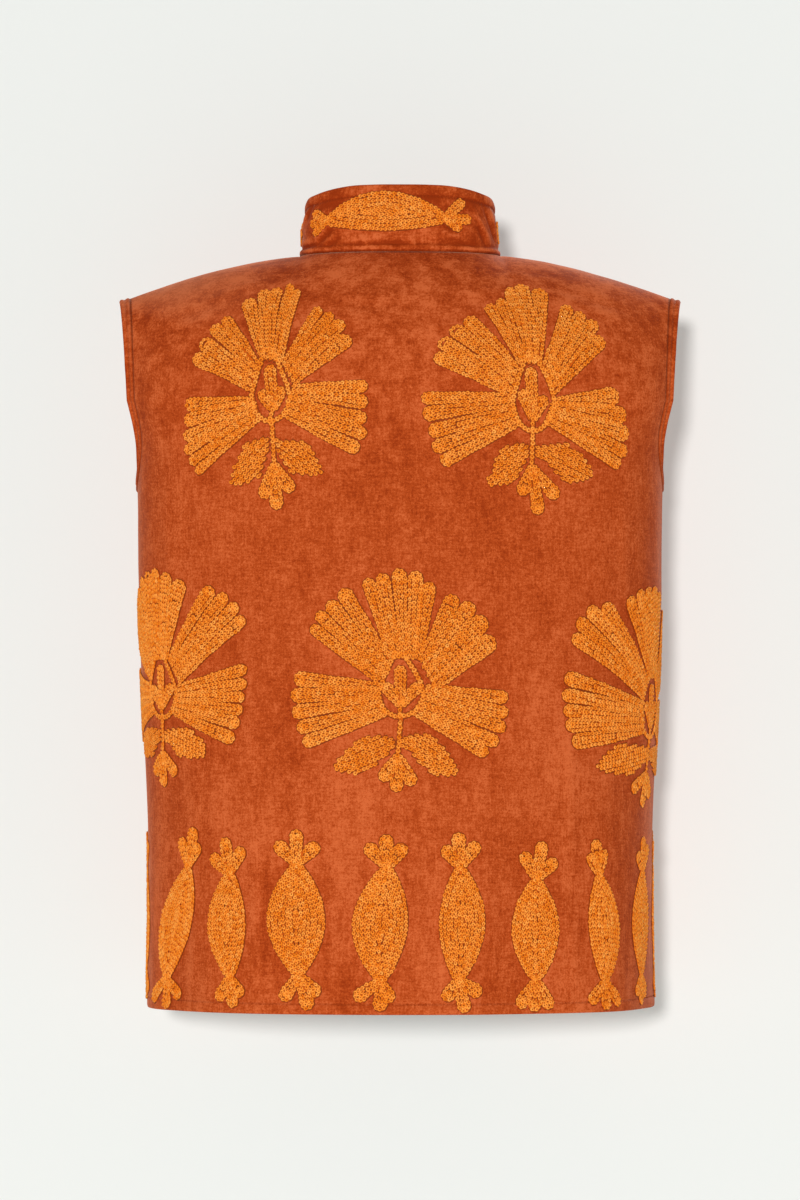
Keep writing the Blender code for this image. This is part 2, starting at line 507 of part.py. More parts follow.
def body_surfaces(flat, folded, normals):
    """The surfaces the motifs lie on: the ring below the armholes, and the back."""
    surfaces = {}
    lower = slice(0, LOWER_ROWS + 1)
    halves = {}
    for side in (1, -1):
        halves[side] = [
            np.concatenate([grid["back", side][:, lower], grid["front", side][-2::-1, lower]])
            for grid in (folded, normals)
        ]
    along = np.stack(
        [
            np.concatenate([ring_lengths("back", row, flat), ring_lengths("front", row, flat)[-2::-1]])
            for row in range(LOWER_ROWS + 1)
        ],
        axis=1,
    )
    points, outward = (np.concatenate([halves[-1][k][:0:-1], halves[1][k]]) for k in (0, 1))
    heights = flat["back", 1][0, lower, 2]
    surfaces["ring"] = Surface(points, outward, np.concatenate([-along[:0:-1], along]), heights)
    points = flat["back", 1]
    heights = points[BACK_HEIGHT_COLUMN, :, 2].copy()
    heights[YOKE_ROW:] = YOKE_Z + lengths_along(points[BACK_HEIGHT_COLUMN, YOKE_ROW:])
    along = np.stack([lengths_along(points[:, row]) for row in range(LAST_ROW + 1)], axis=1)
    halves = [(grid["back", -1][:0:-1], grid["back", 1]) for grid in (folded, normals)]
    points, outward = (np.concatenate(pair) for pair in halves)
    surfaces["back"] = Surface(points, outward, np.concatenate([-along[:0:-1], along]), heights, YOKE_ROW)
    return surfaces


def new_object(name, vertices, faces, material):
    """A closed body facing outwards, in the garment's collection."""
    mesh = bpy.data.meshes.new(name)
    mesh.from_pydata([tuple(map(float, vertex)) for vertex in vertices], [], faces)
    work = bmesh.new()
    work.from_mesh(mesh)
    bmesh.ops.recalc_face_normals(work, faces=work.faces)
    work.to_mesh(mesh)
    work.free()
    mesh.materials.append(bpy.data.materials[material])
    body = bpy.data.objects.new(name, mesh)
    bpy.data.collections[GARMENT].objects.link(body)
    return body


def new_materials():
    """One plain material for each kind of cloth or yarn."""
    for name, (colour, roughness) in MATERIALS.items():
        material = bpy.data.materials.new(name)
        material.use_nodes = True
        shader = material.node_tree.nodes["Principled BSDF"]
        shader.inputs["Base Color"].default_value = colour
        shader.inputs["Roughness"].default_value = roughness
        shader.inputs["Metallic"].default_value = 0.0


def sheet(name, outer, inner, material):
    """A sheet of cloth between two grids of points, closed round its edges."""
    columns, rows = outer.shape[:2]
    vertices = np.concatenate([outer.reshape(-1, 3), inner.reshape(-1, 3)])
    under = columns * rows
    faces = []
    for i in range(columns - 1):
        for j in range(rows - 1):
            a, b, c, d = i * rows + j, (i + 1) * rows + j, (i + 1) * rows + j + 1, i * rows + j + 1
            faces += [(a, b, c), (a, c, d)]
            faces += [(under + a, under + c, under + b), (under + a, under + d, under + c)]
    bottom = [i * rows for i in range(columns)]
    top = [i * rows + rows - 1 for i in range(columns)]
    upwards, downwards = list(range(bottom[-1] + 1, bottom[-1] + rows)), list(range(rows - 2, 0, -1))
    edge = bottom + upwards + top[-2::-1] + downwards
    for a, b in zip(edge, edge[1:] + edge[:1]):
        faces += [(a, under + a, under + b), (a, under + b, b)]
    return new_object(name, vertices, faces, material)


def pulled_back(points, *edges):
    """The grid with some of its edges drawn in by half a seam gap."""
    points = points.copy()
    for axis, end in edges:
        line, beside = ((-1, -2) if end else (0, 1))
        edge = points[line] if axis == 0 else points[:, line]
        inside = points[beside] if axis == 0 else points[:, beside]
        step = inside - edge
        edge += step * (SEAM_GAP / 2) / np.linalg.norm(step, axis=1)[:, None]
    return points


def panels(folded, normals):
    """The back and the two fronts."""
    made = {}
    for name, side in folded:
        points = folded[name, side].copy()
        lower = pulled_back(points[:, : LOWER_ROWS + 1], (0, True))
        points[:, : LOWER_ROWS + 1] = lower
        shoulder = pulled_back(points[NECK_COLUMNS:], (1, True))
        points[NECK_COLUMNS:] = shoulder
        made[name, side] = points, points - normals[name, side] * CLOTH
    back = [np.concatenate([made["back", -1][k][:0:-1], made["back", 1][k]]) for k in (0, 1)]
    sheet("panel_back", *back, "velvet")
    sheet("panel_front_left", *[points[::-1] for points in made["front", 1]], "velvet")
    sheet("panel_front_right", *made["front", -1], "velvet")


def edge_frame(points, normals, closed, off):
    """For each point of an edge, the direction that leads off the cloth. It's on the same side as off."""
    if closed:
        along = np.roll(points, -1, axis=0) - np.roll(points, 1, axis=0)
    else:
        along = np.gradient(points, axis=0)
    away = np.cross(along, normals)
    away /= np.linalg.norm(away, axis=1)[:, None]
    return away * np.sign((away * off).sum(axis=1))[:, None]


def armhole_band(side, folded, normals):
    """A narrow strip round an armhole. It starts level with the cloth and leans outwards from it."""
    grids = {}
    for key, grid in (("points", folded), ("normals", normals)):
        back, front = grid["back", side][-1, LOWER_ROWS:], grid["front", side][-1, LOWER_ROWS:]
        grids[key] = np.concatenate([back, front[-2:0:-1]])
    points, outward = grids["points"], grids["normals"]
    middle = points.mean(axis=0)
    away = edge_frame(points, outward, True, (middle - points) + (0.3 * side, 0, 0))
    flare = np.interp(points[:, 2], BAND_FLARE_HEIGHTS, (BAND_FLARE_LOW, BAND_FLARE))
    lean = away + np.outer(flare, (side, 0, 0))
    lean /= np.linalg.norm(lean, axis=1)[:, None]
    outside = outward - lean * (outward * lean).sum(axis=1)[:, None]
    outside /= np.linalg.norm(outside, axis=1)[:, None]
    start = points + away * SEAM_GAP
    rings = [start]
    rings += [start + lean * BAND_WIDTH * share + outside * puff for share, puff in BAND_LEVELS]
    rings += [
        start + lean * BAND_WIDTH * share - outside * (CLOTH + puff)
        for share, puff in BAND_LEVELS[::-1]
    ]
    rings.append(start - outward * CLOTH)
    loop(f"armhole_band_{'left' if side > 0 else 'right'}", np.stack(rings), True, "velvet")


def loop(name, rings, closed, material):
    """A body from lines of points that run side by side round its section: a closed ring, or a strip."""
    count, steps = rings.shape[:2]
    faces = []
    for i in range(count):
        for j in range(steps if closed else steps - 1):
            a, b = i * steps + j, i * steps + (j + 1) % steps
            c, d = (i + 1) % count * steps + (j + 1) % steps, (i + 1) % count * steps + j
            faces += [(a, b, c), (a, c, d)]
    if not closed:
        for end in (0, steps - 1):
            hub = [i * steps + end for i in range(count)]
            for i in range(count // 2 - 1):
                faces += [(hub[i], hub[i + 1], hub[-1 - i]), (hub[i + 1], hub[-2 - i], hub[-1 - i])]
            if count % 2:
                middle = count // 2
                faces.append((hub[middle - 1], hub[middle], hub[middle + 1]))
    return new_object(name, rings.reshape(-1, 3), faces, material)


def stand_collar(folded, normals):
    """The collar, and its outside as a surface for the motifs on it."""
    lines = []
    for grid in (folded, normals):
        half = {
            side: [grid[name, side][: NECK_COLUMNS + 1, -1] for name in ("back", "front")]
            for side in (1, -1)
        }
        lines.append(np.concatenate([half[-1][1], half[-1][0][-2:0:-1], half[1][0], half[1][1][-2::-1]]))
    base, outward = lines
    away = edge_frame(base, outward, False, base * (-1, -1, 0) + (0, 0, 0.2))
    start = base + away * SEAM_GAP
    plan = base * (1, 1, 0)
    heading = np.gradient(plan, axis=0)
    outside = np.cross(heading, (0, 0, 1.0))
    outside /= np.linalg.norm(outside, axis=1)[:, None]
    outside *= np.sign((outside * plan).sum(axis=1))[:, None]
    turn = np.abs(np.arctan2(base[:, 0], base[:, 1])) / math.pi
    table = np.array(COLLAR_HEIGHTS)
    height = np.array([smooth(place, table[:, 0], table[:, 1]) for place in turn])
    rings = [start]
    for share, puff in COLLAR_LEVELS:
        rings.append(start + np.outer(height * share, (0, 0, 1)) + outside * (puff - COLLAR_LEAN * share))
    rings.append(start + np.outer(height, (0, 0, 1)) - outside * (COLLAR_LEAN + COLLAR_CLOTH / 2))
    for share, puff in COLLAR_LEVELS[::-1]:
        inwards = puff + COLLAR_LEAN * share + COLLAR_CLOTH
        rings.append(start + np.outer(height * share, (0, 0, 1)) - outside * inwards)
    rings.append(start - outward * CLOTH)
    rings = np.stack(rings)
    loop("collar", rings, False, "velvet")
    levels = rings[2:4].transpose(1, 0, 2)
    along = lengths_along(plan)
    along -= along[len(along) // 2]
    heights = np.array([COLLAR_BACK_HEIGHT * share for share, _ in COLLAR_LEVELS[1:3]])
    facing = np.repeat(outside[:, None], 2, axis=1)
    return Surface(levels, facing, np.repeat(along[:, None], 2, axis=1), heights)


def petal(start, end, tips):
    """The outline of a petal: its base, and a rounded tip for each of its lobes."""
    start, end, tips = np.array(start), np.array(end), np.array(tips)
    root = (start + end) / 2
    inwards = root - np.mean(tips, axis=0)
    inwards *= PETAL_REACH / np.linalg.norm(inwards)
    outline = [start + inwards]
    gaps = np.linalg.norm(np.diff(tips, axis=0), axis=1)
    widths = np.concatenate([gaps[:1], (gaps[1:] + gaps[:-1]) / 2, gaps[-1:]]) / 2
    for i, (tip, width) in enumerate(zip(tips, widths)):
        forward = (tip - root) / np.linalg.norm(tip - root)
        aside = np.array((forward[1], -forward[0]))
        if i == 0:
            outline.append(tip - forward * width * 0.8 - aside * width * 0.9)
        outline += [tip - aside * width * 0.5, tip + aside * width * 0.5]
        if i + 1 < len(tips):
            outline.append((tip + tips[i + 1]) / 2 - forward * width * 1.2)
        else:
            outline.append(tip - forward * width * 0.8 + aside * width * 0.9)
    outline.append(end + inwards)
    return outline


def lobe(start, tip, start_width, end_width):
    """The outline of a single lobe with a rounded tip."""
    start, tip = np.array(start), np.array(tip)
    forward = (tip - start) / np.linalg.norm(tip - start)
    aside = np.array((forward[1], -forward[0]))
    end = tip - forward * end_width
    return [
        start - aside * start_width,
        end - aside * end_width,
        tip - aside * end_width * 0.45,
        tip + aside * end_width * 0.45,
        end + aside * end_width,
        start + aside * start_width,
    ]


def heart_ring(point, foot, half_width, middle):
    """The ring round a flower's heart, pointed above and round below, as a run of short pieces."""
    edges = []
    for step in range(RING_STEPS):
        angle = 2 * math.pi * step / RING_STEPS
        across, up = math.sin(angle), math.cos(angle)
        end = point if up > 0 else foot
        width = half_width * across * (1 - RING_SHOULDER * max(up, 0))
        centre = np.array((end[0] * (1 - abs(across)) + middle * abs(across) + width, end[1] * abs(up)))
        out = centre - (middle, 0)
        out /= np.linalg.norm(out)
        edges.append((centre - out * RING_YARN / 2, centre + out * RING_YARN / 2))
    pieces = []
    for (inner, outer), (next_inner, next_outer) in zip(edges, edges[1:] + edges[:1]):
        pieces.append([inner, outer, next_outer, next_inner])
    return pieces


def flower_outlines(form):
    """The pieces of a flower, which overlap."""
    pieces = [petal(*row) for row in form["petals"]] + list(form["leaves"]) + heart_ring(*form["ring"])
    foot, *tips = form["bud"]
    pieces += [lobe(foot, tip, *BUD_WIDTHS) for tip in tips]
    stalks = ((form["ring"][1], foot), form["stalk"])
    pieces += [lobe(start, end, STALK_WIDTH, STALK_WIDTH) for start, end in stalks]
    pieces += [lobe(form["stalk"][1], tip, *HANGING_WIDTHS) for tip in form["hanging"]]
    return pieces


def pod_outlines(neck, foot, sides, crown, tail, tip_width):
    """The pieces of a pod, which overlap."""
    neck, foot = np.array(neck), np.array(foot)
    half_width = (sides[1] - sides[0]) / 2
    bend = np.array(((sides[0] + sides[1]) / 2 - (neck[0] + foot[0]) / 2, 0))
    right, left = [], []
    for step in range(POD_STEPS + 1):
        share = step / POD_STEPS
        full = math.sin(math.pi * share) ** POD_FULLNESS
        centre = neck + (foot - neck) * share + bend * full
        width = POD_END + (half_width - POD_END) * full
        right.append(centre + (width, 0))
        left.append(centre - (width, 0))
    ends = [(neck, tip) for tip in crown] + [(foot, tip) for tip in tail]
    return [right + left[::-1]] + [lobe(end, tip, POD_LOBE_START, tip_width) for end, tip in ends]


def anticlockwise(polygon):
    """The polygon's points in anticlockwise order."""
    points = np.array(polygon)
    x, y = points[:, 0], points[:, 1]
    area = np.dot(x, np.roll(y, -1)) - np.dot(y, np.roll(x, -1))
    return points if area > 0 else points[::-1]


def joined(polygons):
    """The outlines of overlapping polygons joined into one, with its holes and without needless points."""
    vertices, faces = [], []
    for polygon in polygons:
        faces.append(list(range(len(vertices), len(vertices) + len(polygon))))
        vertices += [tuple(point * CUT_SCALE) for point in anticlockwise(polygon)]
    points, _, triangles, _, _, sources = delaunay_2d_cdt(vertices, [], faces, 0, CUT_CLOSE)
    edges = {}
    for triangle, source in zip(triangles, sources):
        if source:
            for a, b in zip(triangle, triangle[1:] + triangle[:1]):
                edges[a, b] = True
    following = {}
    for a, b in edges:
        if (b, a) not in edges:
            following.setdefault(a, []).append(b)
    outlines = []
    for first in list(following):
        while following[first]:
            line, at = [first], following[first].pop()
            while at != first:
                line.append(at)
                at = following[at].pop()
            outlines.append(thinned([np.array(points[i]) / CUT_SCALE for i in line]))
    whole = [outline for outline in outlines if len(outline) > 2]
    return [outline for outline in whole if abs(signed_area(outline)) > SMALLEST_HOLE]


def signed_area(outline):
    """The area of an outline, negative when it runs clockwise."""
    x, y = np.array(outline).T
    return (np.dot(x, np.roll(y, -1)) - np.dot(y, np.roll(x, -1))) / 2


def thinned(outline, close=0.0009, straight=0.00025):
    """An outline without points that are close to the one before or lie on a straight line."""
    kept = []
    for point in outline:
        if not kept or np.linalg.norm(point - kept[-1]) > close:
            kept.append(point)
    while len(kept) > 2 and np.linalg.norm(kept[0] - kept[-1]) <= close:
        kept.pop()
    i = 0
    while i < len(kept) and len(kept) > 3:
        before, point, after = kept[i - 1], kept[i], kept[(i + 1) % len(kept)]
        chord = after - before
        off = abs(chord[0] * (point - before)[1] - chord[1] * (point - before)[0]) / np.linalg.norm(chord)
        if off < straight:
            kept.pop(i)
        else:
            i += 1
    return kept


def inside(x, y, outlines):
    """Whether a point is inside the outlines and not in one of their holes."""
    crossings = 0
    for outline in outlines:
        for (x0, y0), (x1, y1) in zip(outline, outline[1:] + outline[:1]):
            if (y0 > y) != (y1 > y) and x < x0 + (y - y0) * (x1 - x0) / (y1 - y0):
                crossings += 1
    return crossings % 2 == 1


def motif(name, outlines, surface, along, height, right, left, up, down, lean):
    """Embroidery on a surface, cut along the surface's own grid so that it follows every facet."""
    turn = math.radians(lean)
    placed = []
    for outline in outlines:
        line = []
        for x, y in outline:
            x, y = x * (right if x > 0 else left), y * (up if y > 0 else down)
            x, y = x * math.cos(turn) - y * math.sin(turn), x * math.sin(turn) + y * math.cos(turn)
            line.append(surface.place(along - x, height + y))
        placed.append(line)
    vertices, edges = [], []
    for line in placed:
        first = len(vertices)
        vertices += line
        edges += [(first + i, first + (i + 1) % len(line)) for i in range(len(line))]
    low, high = np.min(vertices, axis=0), np.max(vertices, axis=0)
    for axis in (0, 1):
        for line in range(math.ceil(low[axis] + 0.02), math.floor(high[axis] - 0.02) + 1):
            for end in (low[1 - axis] - 0.5, high[1 - axis] + 0.5):
                vertices.append((line, end) if axis == 0 else (end, line))
            edges.append((len(vertices) - 2, len(vertices) - 1))
    for column in range(math.floor(low[0]), math.ceil(high[0])):
        for row in range(max(surface.twisted, math.floor(low[1])), math.ceil(high[1])):
            vertices += [(column, row), (column + 1, row + 1)]
            edges.append((len(vertices) - 2, len(vertices) - 1))
    points, _, triangles, *_ = delaunay_2d_cdt(vertices, edges, [], 0, 0.02)
    kept = []
    for triangle in triangles:
        x, y = np.mean([points[i] for i in triangle], axis=0)
        if inside(x, y, placed):
            kept.append(tuple(triangle))
    used = sorted({i for triangle in kept for i in triangle})
    number = {i: n for n, i in enumerate(used)}
    kept = [tuple(number[i] for i in triangle) for triangle in kept]
    lower = [surface.point(*points[i], YARN_LIFT) for i in used]
    upper = [surface.point(*points[i], YARN_LIFT + YARN_HEIGHT) for i in used]
    count = len(used)
    faces = [tuple(count + i for i in triangle) for triangle in kept]
    faces += [triangle[::-1] for triangle in kept]
    sides = {(a, b) for triangle in kept for a, b in zip(triangle, triangle[1:] + triangle[:1])}
    for a, b in sorted(sides):
        if (b, a) not in sides:
            faces += [(a, b, count + b), (a, count + b, count + a)]
    return new_object(name, lower + upper, faces, "embroidery")


def main():
    for thing in list(bpy.data.objects):
        bpy.data.objects.remove(thing)
    bpy.context.scene.collection.children.link(bpy.data.collections.new(GARMENT))
    new_materials()
    flat, folded, normals = cloth_grids()
    panels(folded, normals)
    surfaces = body_surfaces(flat, folded, normals)
    surfaces["collar"] = stand_collar(folded, normals)
    for side in (1, -1):
        armhole_band(side, folded, normals)
    outlines = {name: joined(flower_outlines(form)) for name, form in FLOWER_FORMS.items()}
    outlines |= {name: joined(pod_outlines(*form)) for name, form in POD_FORMS.items()}
    for name, (form, surface, *place) in (FLOWERS | PODS).items():
        motif(name, outlines[form], surfaces[surface], *place)


main()
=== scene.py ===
import json
import math
import random

import bmesh
import bpy
import numpy as np
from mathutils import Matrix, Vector, noise

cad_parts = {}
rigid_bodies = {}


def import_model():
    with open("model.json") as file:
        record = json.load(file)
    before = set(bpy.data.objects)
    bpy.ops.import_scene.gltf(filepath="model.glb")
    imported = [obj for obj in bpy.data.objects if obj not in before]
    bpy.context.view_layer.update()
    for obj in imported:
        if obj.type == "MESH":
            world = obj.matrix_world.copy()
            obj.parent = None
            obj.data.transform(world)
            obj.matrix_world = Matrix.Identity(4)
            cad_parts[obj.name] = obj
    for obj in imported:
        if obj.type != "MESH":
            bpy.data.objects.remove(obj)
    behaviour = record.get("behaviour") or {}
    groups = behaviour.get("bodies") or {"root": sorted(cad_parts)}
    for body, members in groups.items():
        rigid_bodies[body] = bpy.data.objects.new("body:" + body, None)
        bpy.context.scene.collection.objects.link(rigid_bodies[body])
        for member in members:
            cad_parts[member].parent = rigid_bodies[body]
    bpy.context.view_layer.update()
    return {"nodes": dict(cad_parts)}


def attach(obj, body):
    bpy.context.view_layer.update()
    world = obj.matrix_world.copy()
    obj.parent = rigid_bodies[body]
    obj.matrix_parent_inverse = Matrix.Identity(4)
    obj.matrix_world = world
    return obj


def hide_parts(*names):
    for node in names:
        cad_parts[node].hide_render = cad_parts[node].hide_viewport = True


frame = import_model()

print("frame loaded:", len(frame["nodes"]), "nodes")


# the form of the body, in metres, with the same values as its solids
form = {
    "hem": -0.622,
    "hemStitch": 0.0083,  # how far above the hem its stitched line runs
    "underarm": -0.196,
    "yoke": -0.120,
    "neckHalfWidth": 0.082,
    "neckBack": 0.058,
    "neckFront": 0.076,
    "neckBackRise": 0.002,
    "neckFrontDrop": 0.058,
    "neckFrontCurve": 1.6,
    "neckSquareness": 2.3,
    "neckTurn": math.radians(58),
    "neckTurnCurve": 1.5,
    "neckShare": 7 / 16,  # the part of a panel's width that ends at the neckline
    "measuredShare": 6 / 16,  # the column that heights up the cloth are measured along
    "shoulder": 0.224,
    "shoulderDrop": 0.035,
    "shoulderCurve": 1.5,
    "shoulderTilt": 0.12,  # how far up the normals of level cloth are looked for
    "armholeBack": 0.050,
    "armholeFront": 0.053,
    "frontSlant": 0.5,
    "openingAtNeck": 0.0006,
    "openingAtHem": 0.0035,
    "seamGap": 0.0003,
    # height, half width, depth of the back and of the fronts, squareness
    "sections": (
        (-0.622, 0.2096, 0.155, 0.150, 2.12),
        (-0.480, 0.2092, 0.149, 0.146, 2.17),
        (-0.365, 0.2140, 0.140, 0.142, 2.30),
        (-0.290, 0.2165, 0.134, 0.140, 2.42),
        (-0.196, 0.2178, 0.127, 0.136, 2.55),
        (-0.154, 0.2190, 0.124, 0.131, 2.60),
        (-0.120, 0.2272, 0.122, 0.127, 2.66),
    ),
    # soft upright folds: place round the hem, half width, how far out, height where it has died away
    "folds": (
        (0.12, 0.032, 0.003, -0.33), (0.06, 0.03, -0.0022, -0.36), (-0.04, 0.036, 0.002, -0.38),
        (-0.105, 0.028, -0.0026, -0.34), (-0.178, 0.032, 0.0032, -0.3), (0.205, 0.03, -0.003, -0.32),
        (0.268, 0.032, -0.0006, -0.3), (-0.25, 0.032, -0.0028, -0.33), (-0.33, 0.036, 0.0036, -0.28),
        (0.35, 0.036, -0.003, -0.3), (0.425, 0.038, 0.0042, -0.28), (-0.42, 0.038, -0.0034, -0.3),
        (-0.495, 0.034, 0.0034, -0.34), (0.51, 0.034, -0.0026, -0.36),
    ),
    "foldFade": 1.3,
}

# the weave of points that the cloth is worked out on
weave = {
    "neckColumns": 28,
    "sideColumns": 36,
    "edgeShares": (0.004, 0.009),  # extra columns close to each upright edge
    "hemRows": (
        0.0, 0.0010, 0.0022, 0.0038, 0.0054, 0.0068, 0.0077, 0.0083, 0.0089, 0.0098, 0.0114, 0.0140, 0.0175,
    ),
    "bodyRows": 92,
    "armholeRows": 20,
    "shoulderRows": 30,
    "arcSteps": 400,
}


def lengthsAlong(points):
    return np.concatenate([[0], np.cumsum(np.linalg.norm(np.diff(points, axis=0), axis=1))])


def unitRows(vectors, least=0.0):
    return vectors / (np.linalg.norm(vectors, axis=-1)[..., None] + least)


def towards(start, end):
    return (end - start) / np.linalg.norm(end - start)


def smoothValue(at, places, values):
    slopes = np.gradient(values, places)
    i = int(np.clip(np.searchsorted(places, at) - 1, 0, len(places) - 2))
    step = places[i + 1] - places[i]
    t = (at - places[i]) / step
    return (
        values[i] * (1 + 2 * t) * (1 - t) ** 2
        + values[i + 1] * t * t * (3 - 2 * t)
        + step * t * (1 - t) * (slopes[i] * (1 - t) - slopes[i + 1] * t)
    )


def columnShares():
    neck = np.linspace(0, form["neckShare"], weave["neckColumns"] + 1)
    side = np.linspace(form["neckShare"], 1, weave["sideColumns"] + 1)
    near = np.array(weave["edgeShares"])
    return np.unique(np.concatenate([neck, side, near, 1 - near]))


def columnAt(share):
    return int(np.argmin(abs(shares - share)))


shares = columnShares()
neckLast = columnAt(form["neckShare"])  # the column at the corner of neck and shoulder
bodyHeights = np.concatenate([
    form["hem"] + np.array(weave["hemRows"]),
    np.linspace(form["hem"] + weave["hemRows"][-1], form["underarm"], weave["bodyRows"] + 1)[1:],
])
underarmRow = len(bodyHeights) - 1
yokeRow = underarmRow + weave["armholeRows"]
topRow = yokeRow + weave["shoulderRows"]
lowRows = slice(0, underarmRow + 1)


# a quarter of a rounded square, from its middle to its side, with the lengths along it
def quarterRing(halfWidth, depth, squareness):
    angle = np.linspace(0, math.pi / 2, weave["arcSteps"])
    x = halfWidth * np.sin(angle) ** (2 / squareness)
    y = depth * np.cos(angle) ** (2 / squareness)
    return x, y, np.concatenate([[0], np.cumsum(np.hypot(np.diff(x), np.diff(y)))])


# half of the body's section at one height, from its middle to its side
def halfSection(z, front):
    table = np.array(form["sections"])
    halfWidth, backDepth, frontDepth, squareness = (
        smoothValue(z, table[:, 0], table[:, k]) for k in range(1, 5))
    return quarterRing(halfWidth, frontDepth if front else backDepth, squareness)


def halfNeckline(front):
    depth = form["neckFront"] if front else form["neckBack"]
    x, y, length = quarterRing(form["neckHalfWidth"], depth, form["neckSquareness"])
    start = np.interp(form["openingAtNeck"], x, length) if front else 0.0
    at = start + (length[-1] - start) * shares[: neckLast + 1] / form["neckShare"]
    x, y = np.interp(at, length, x), np.interp(at, length, y)
    if front:
        z = -form["neckFrontDrop"] * (y / depth) ** form["neckFrontCurve"]
    else:
        z = form["neckBackRise"] * y / depth
    return np.stack([x, -y if front else y, z], axis=1)


# half of the back, or one front, on the wearer's left: columns from its middle outwards, rows upwards
def quarterCloth(front):
    points = np.zeros((len(shares), topRow + 1, 3))
    reach, out = (form["armholeFront"], -1) if front else (form["armholeBack"], 1)
    for row in range(yokeRow + 1):
        turn = math.pi / 2 * max(0, row - underarmRow) / weave["armholeRows"]
        z = form["yoke"] + (form["underarm"] - form["yoke"]) * math.cos(turn)
        if row <= underarmRow:
            z = bodyHeights[row]
        x, y, length = halfSection(z, front)
        opening = 0.0
        if front:
            opening = np.interp(z, (form["hem"], 0), (form["openingAtHem"], form["openingAtNeck"]))
        first = np.interp(opening, x, length)
        last = np.interp(-reach * math.sin(turn), -y, length)
        at = first + (last - first) * shares
        points[:, row, 0] = np.interp(at, length, x)
        points[:, row, 1] = out * np.interp(at, length, y)
        points[:, row, 2] = z
    neck = halfNeckline(front)
    rise = np.arange(1, weave["shoulderRows"] + 1) / weave["shoulderRows"]
    for column, share in enumerate(shares):
        beyond = (share - form["neckShare"]) / (1 - form["neckShare"])
        if column <= neckLast:
            top = neck[column]
            curve = (share / form["neckShare"]) ** form["neckTurnCurve"]
            turn = form["neckTurn"] + (math.pi / 2 - form["neckTurn"]) * curve
        else:
            top = np.array((
                form["neckHalfWidth"] + (form["shoulder"] - form["neckHalfWidth"]) * beyond,
                0,
                -form["shoulderDrop"] * beyond ** form["shoulderCurve"],
            ))
            turn = math.pi / 2
        slant = form["frontSlant"] * min(1.0, 1 - beyond) if front else 0.0
        foot = points[column, yokeRow]
        angle = turn * rise
        sideways = slant * rise + (1 - slant) * (1 - np.cos(angle)) / (1 - math.cos(turn))
        up = slant * rise + (1 - slant) * np.sin(angle) / math.sin(turn)
        points[column, yokeRow + 1 :] = foot + (top - foot) * np.stack([rise, sideways, up], axis=1)
    return points


# outward normals of all the quarters, the same wherever two quarters meet
def sharedNormals(grids):
    gathered, keys = {}, {}
    for name, points in grids.items():
        faces = np.cross(points[1:, 1:] - points[:-1, :-1], points[:-1, 1:] - points[1:, :-1])
        middles = (points[1:, 1:] + points[:-1, :-1]) / 2
        outwards = middles * (1, 1, 0) + (0, 0, form["shoulderTilt"])
        faces *= np.sign((faces * outwards).sum(axis=2))[..., None]
        faces = unitRows(faces, 1e-12)
        total = np.zeros_like(points)
        for i, j in ((0, 0), (0, 1), (1, 0), (1, 1)):
            total[i : points.shape[0] - 1 + i, j : points.shape[1] - 1 + j] += faces
        keys[name] = [tuple(key) for key in (np.round(points, 6) + 0.0).reshape(-1, 3).tolist()]
        for key, normal in zip(keys[name], total.reshape(-1, 3)):
            gathered[key] = gathered.get(key, 0) + normal
    return {
        name: unitRows(np.array([gathered[key] for key in keys[name]])).reshape(points.shape)
        for name, points in grids.items()
    }


flat = {}
for part, front in (("back", False), ("front", True)):
    points = quarterCloth(front)
    flat[part, 1], flat[part, -1] = points, points * (-1, 1, 1)
flatNormals = sharedNormals(flat)

# how far round the body each point is from the middle of the back, and how high up the cloth
widthLengths = {
    part: np.stack([lengthsAlong(flat[part, 1][:, row]) for row in range(topRow + 1)], axis=1)
    for part in ("back", "front")
}
wholeRound = widthLengths["back"][-1] + widthLengths["front"][-1]
wholeRound[underarmRow:] = wholeRound[underarmRow]
around = {}
for side in (1, -1):
    around["back", side] = widthLengths["back"] * side
    around["front", side] = (wholeRound - widthLengths["front"]) * side
upCloth = {}
for part in widthLengths:
    line = flat[part, 1][columnAt(form["measuredShare"])]
    upCloth[part] = np.concatenate([line[:yokeRow, 2], form["yoke"] + lengthsAlong(line[yokeRow:])])
print("cloth laid out:", flat["back", 1].shape)


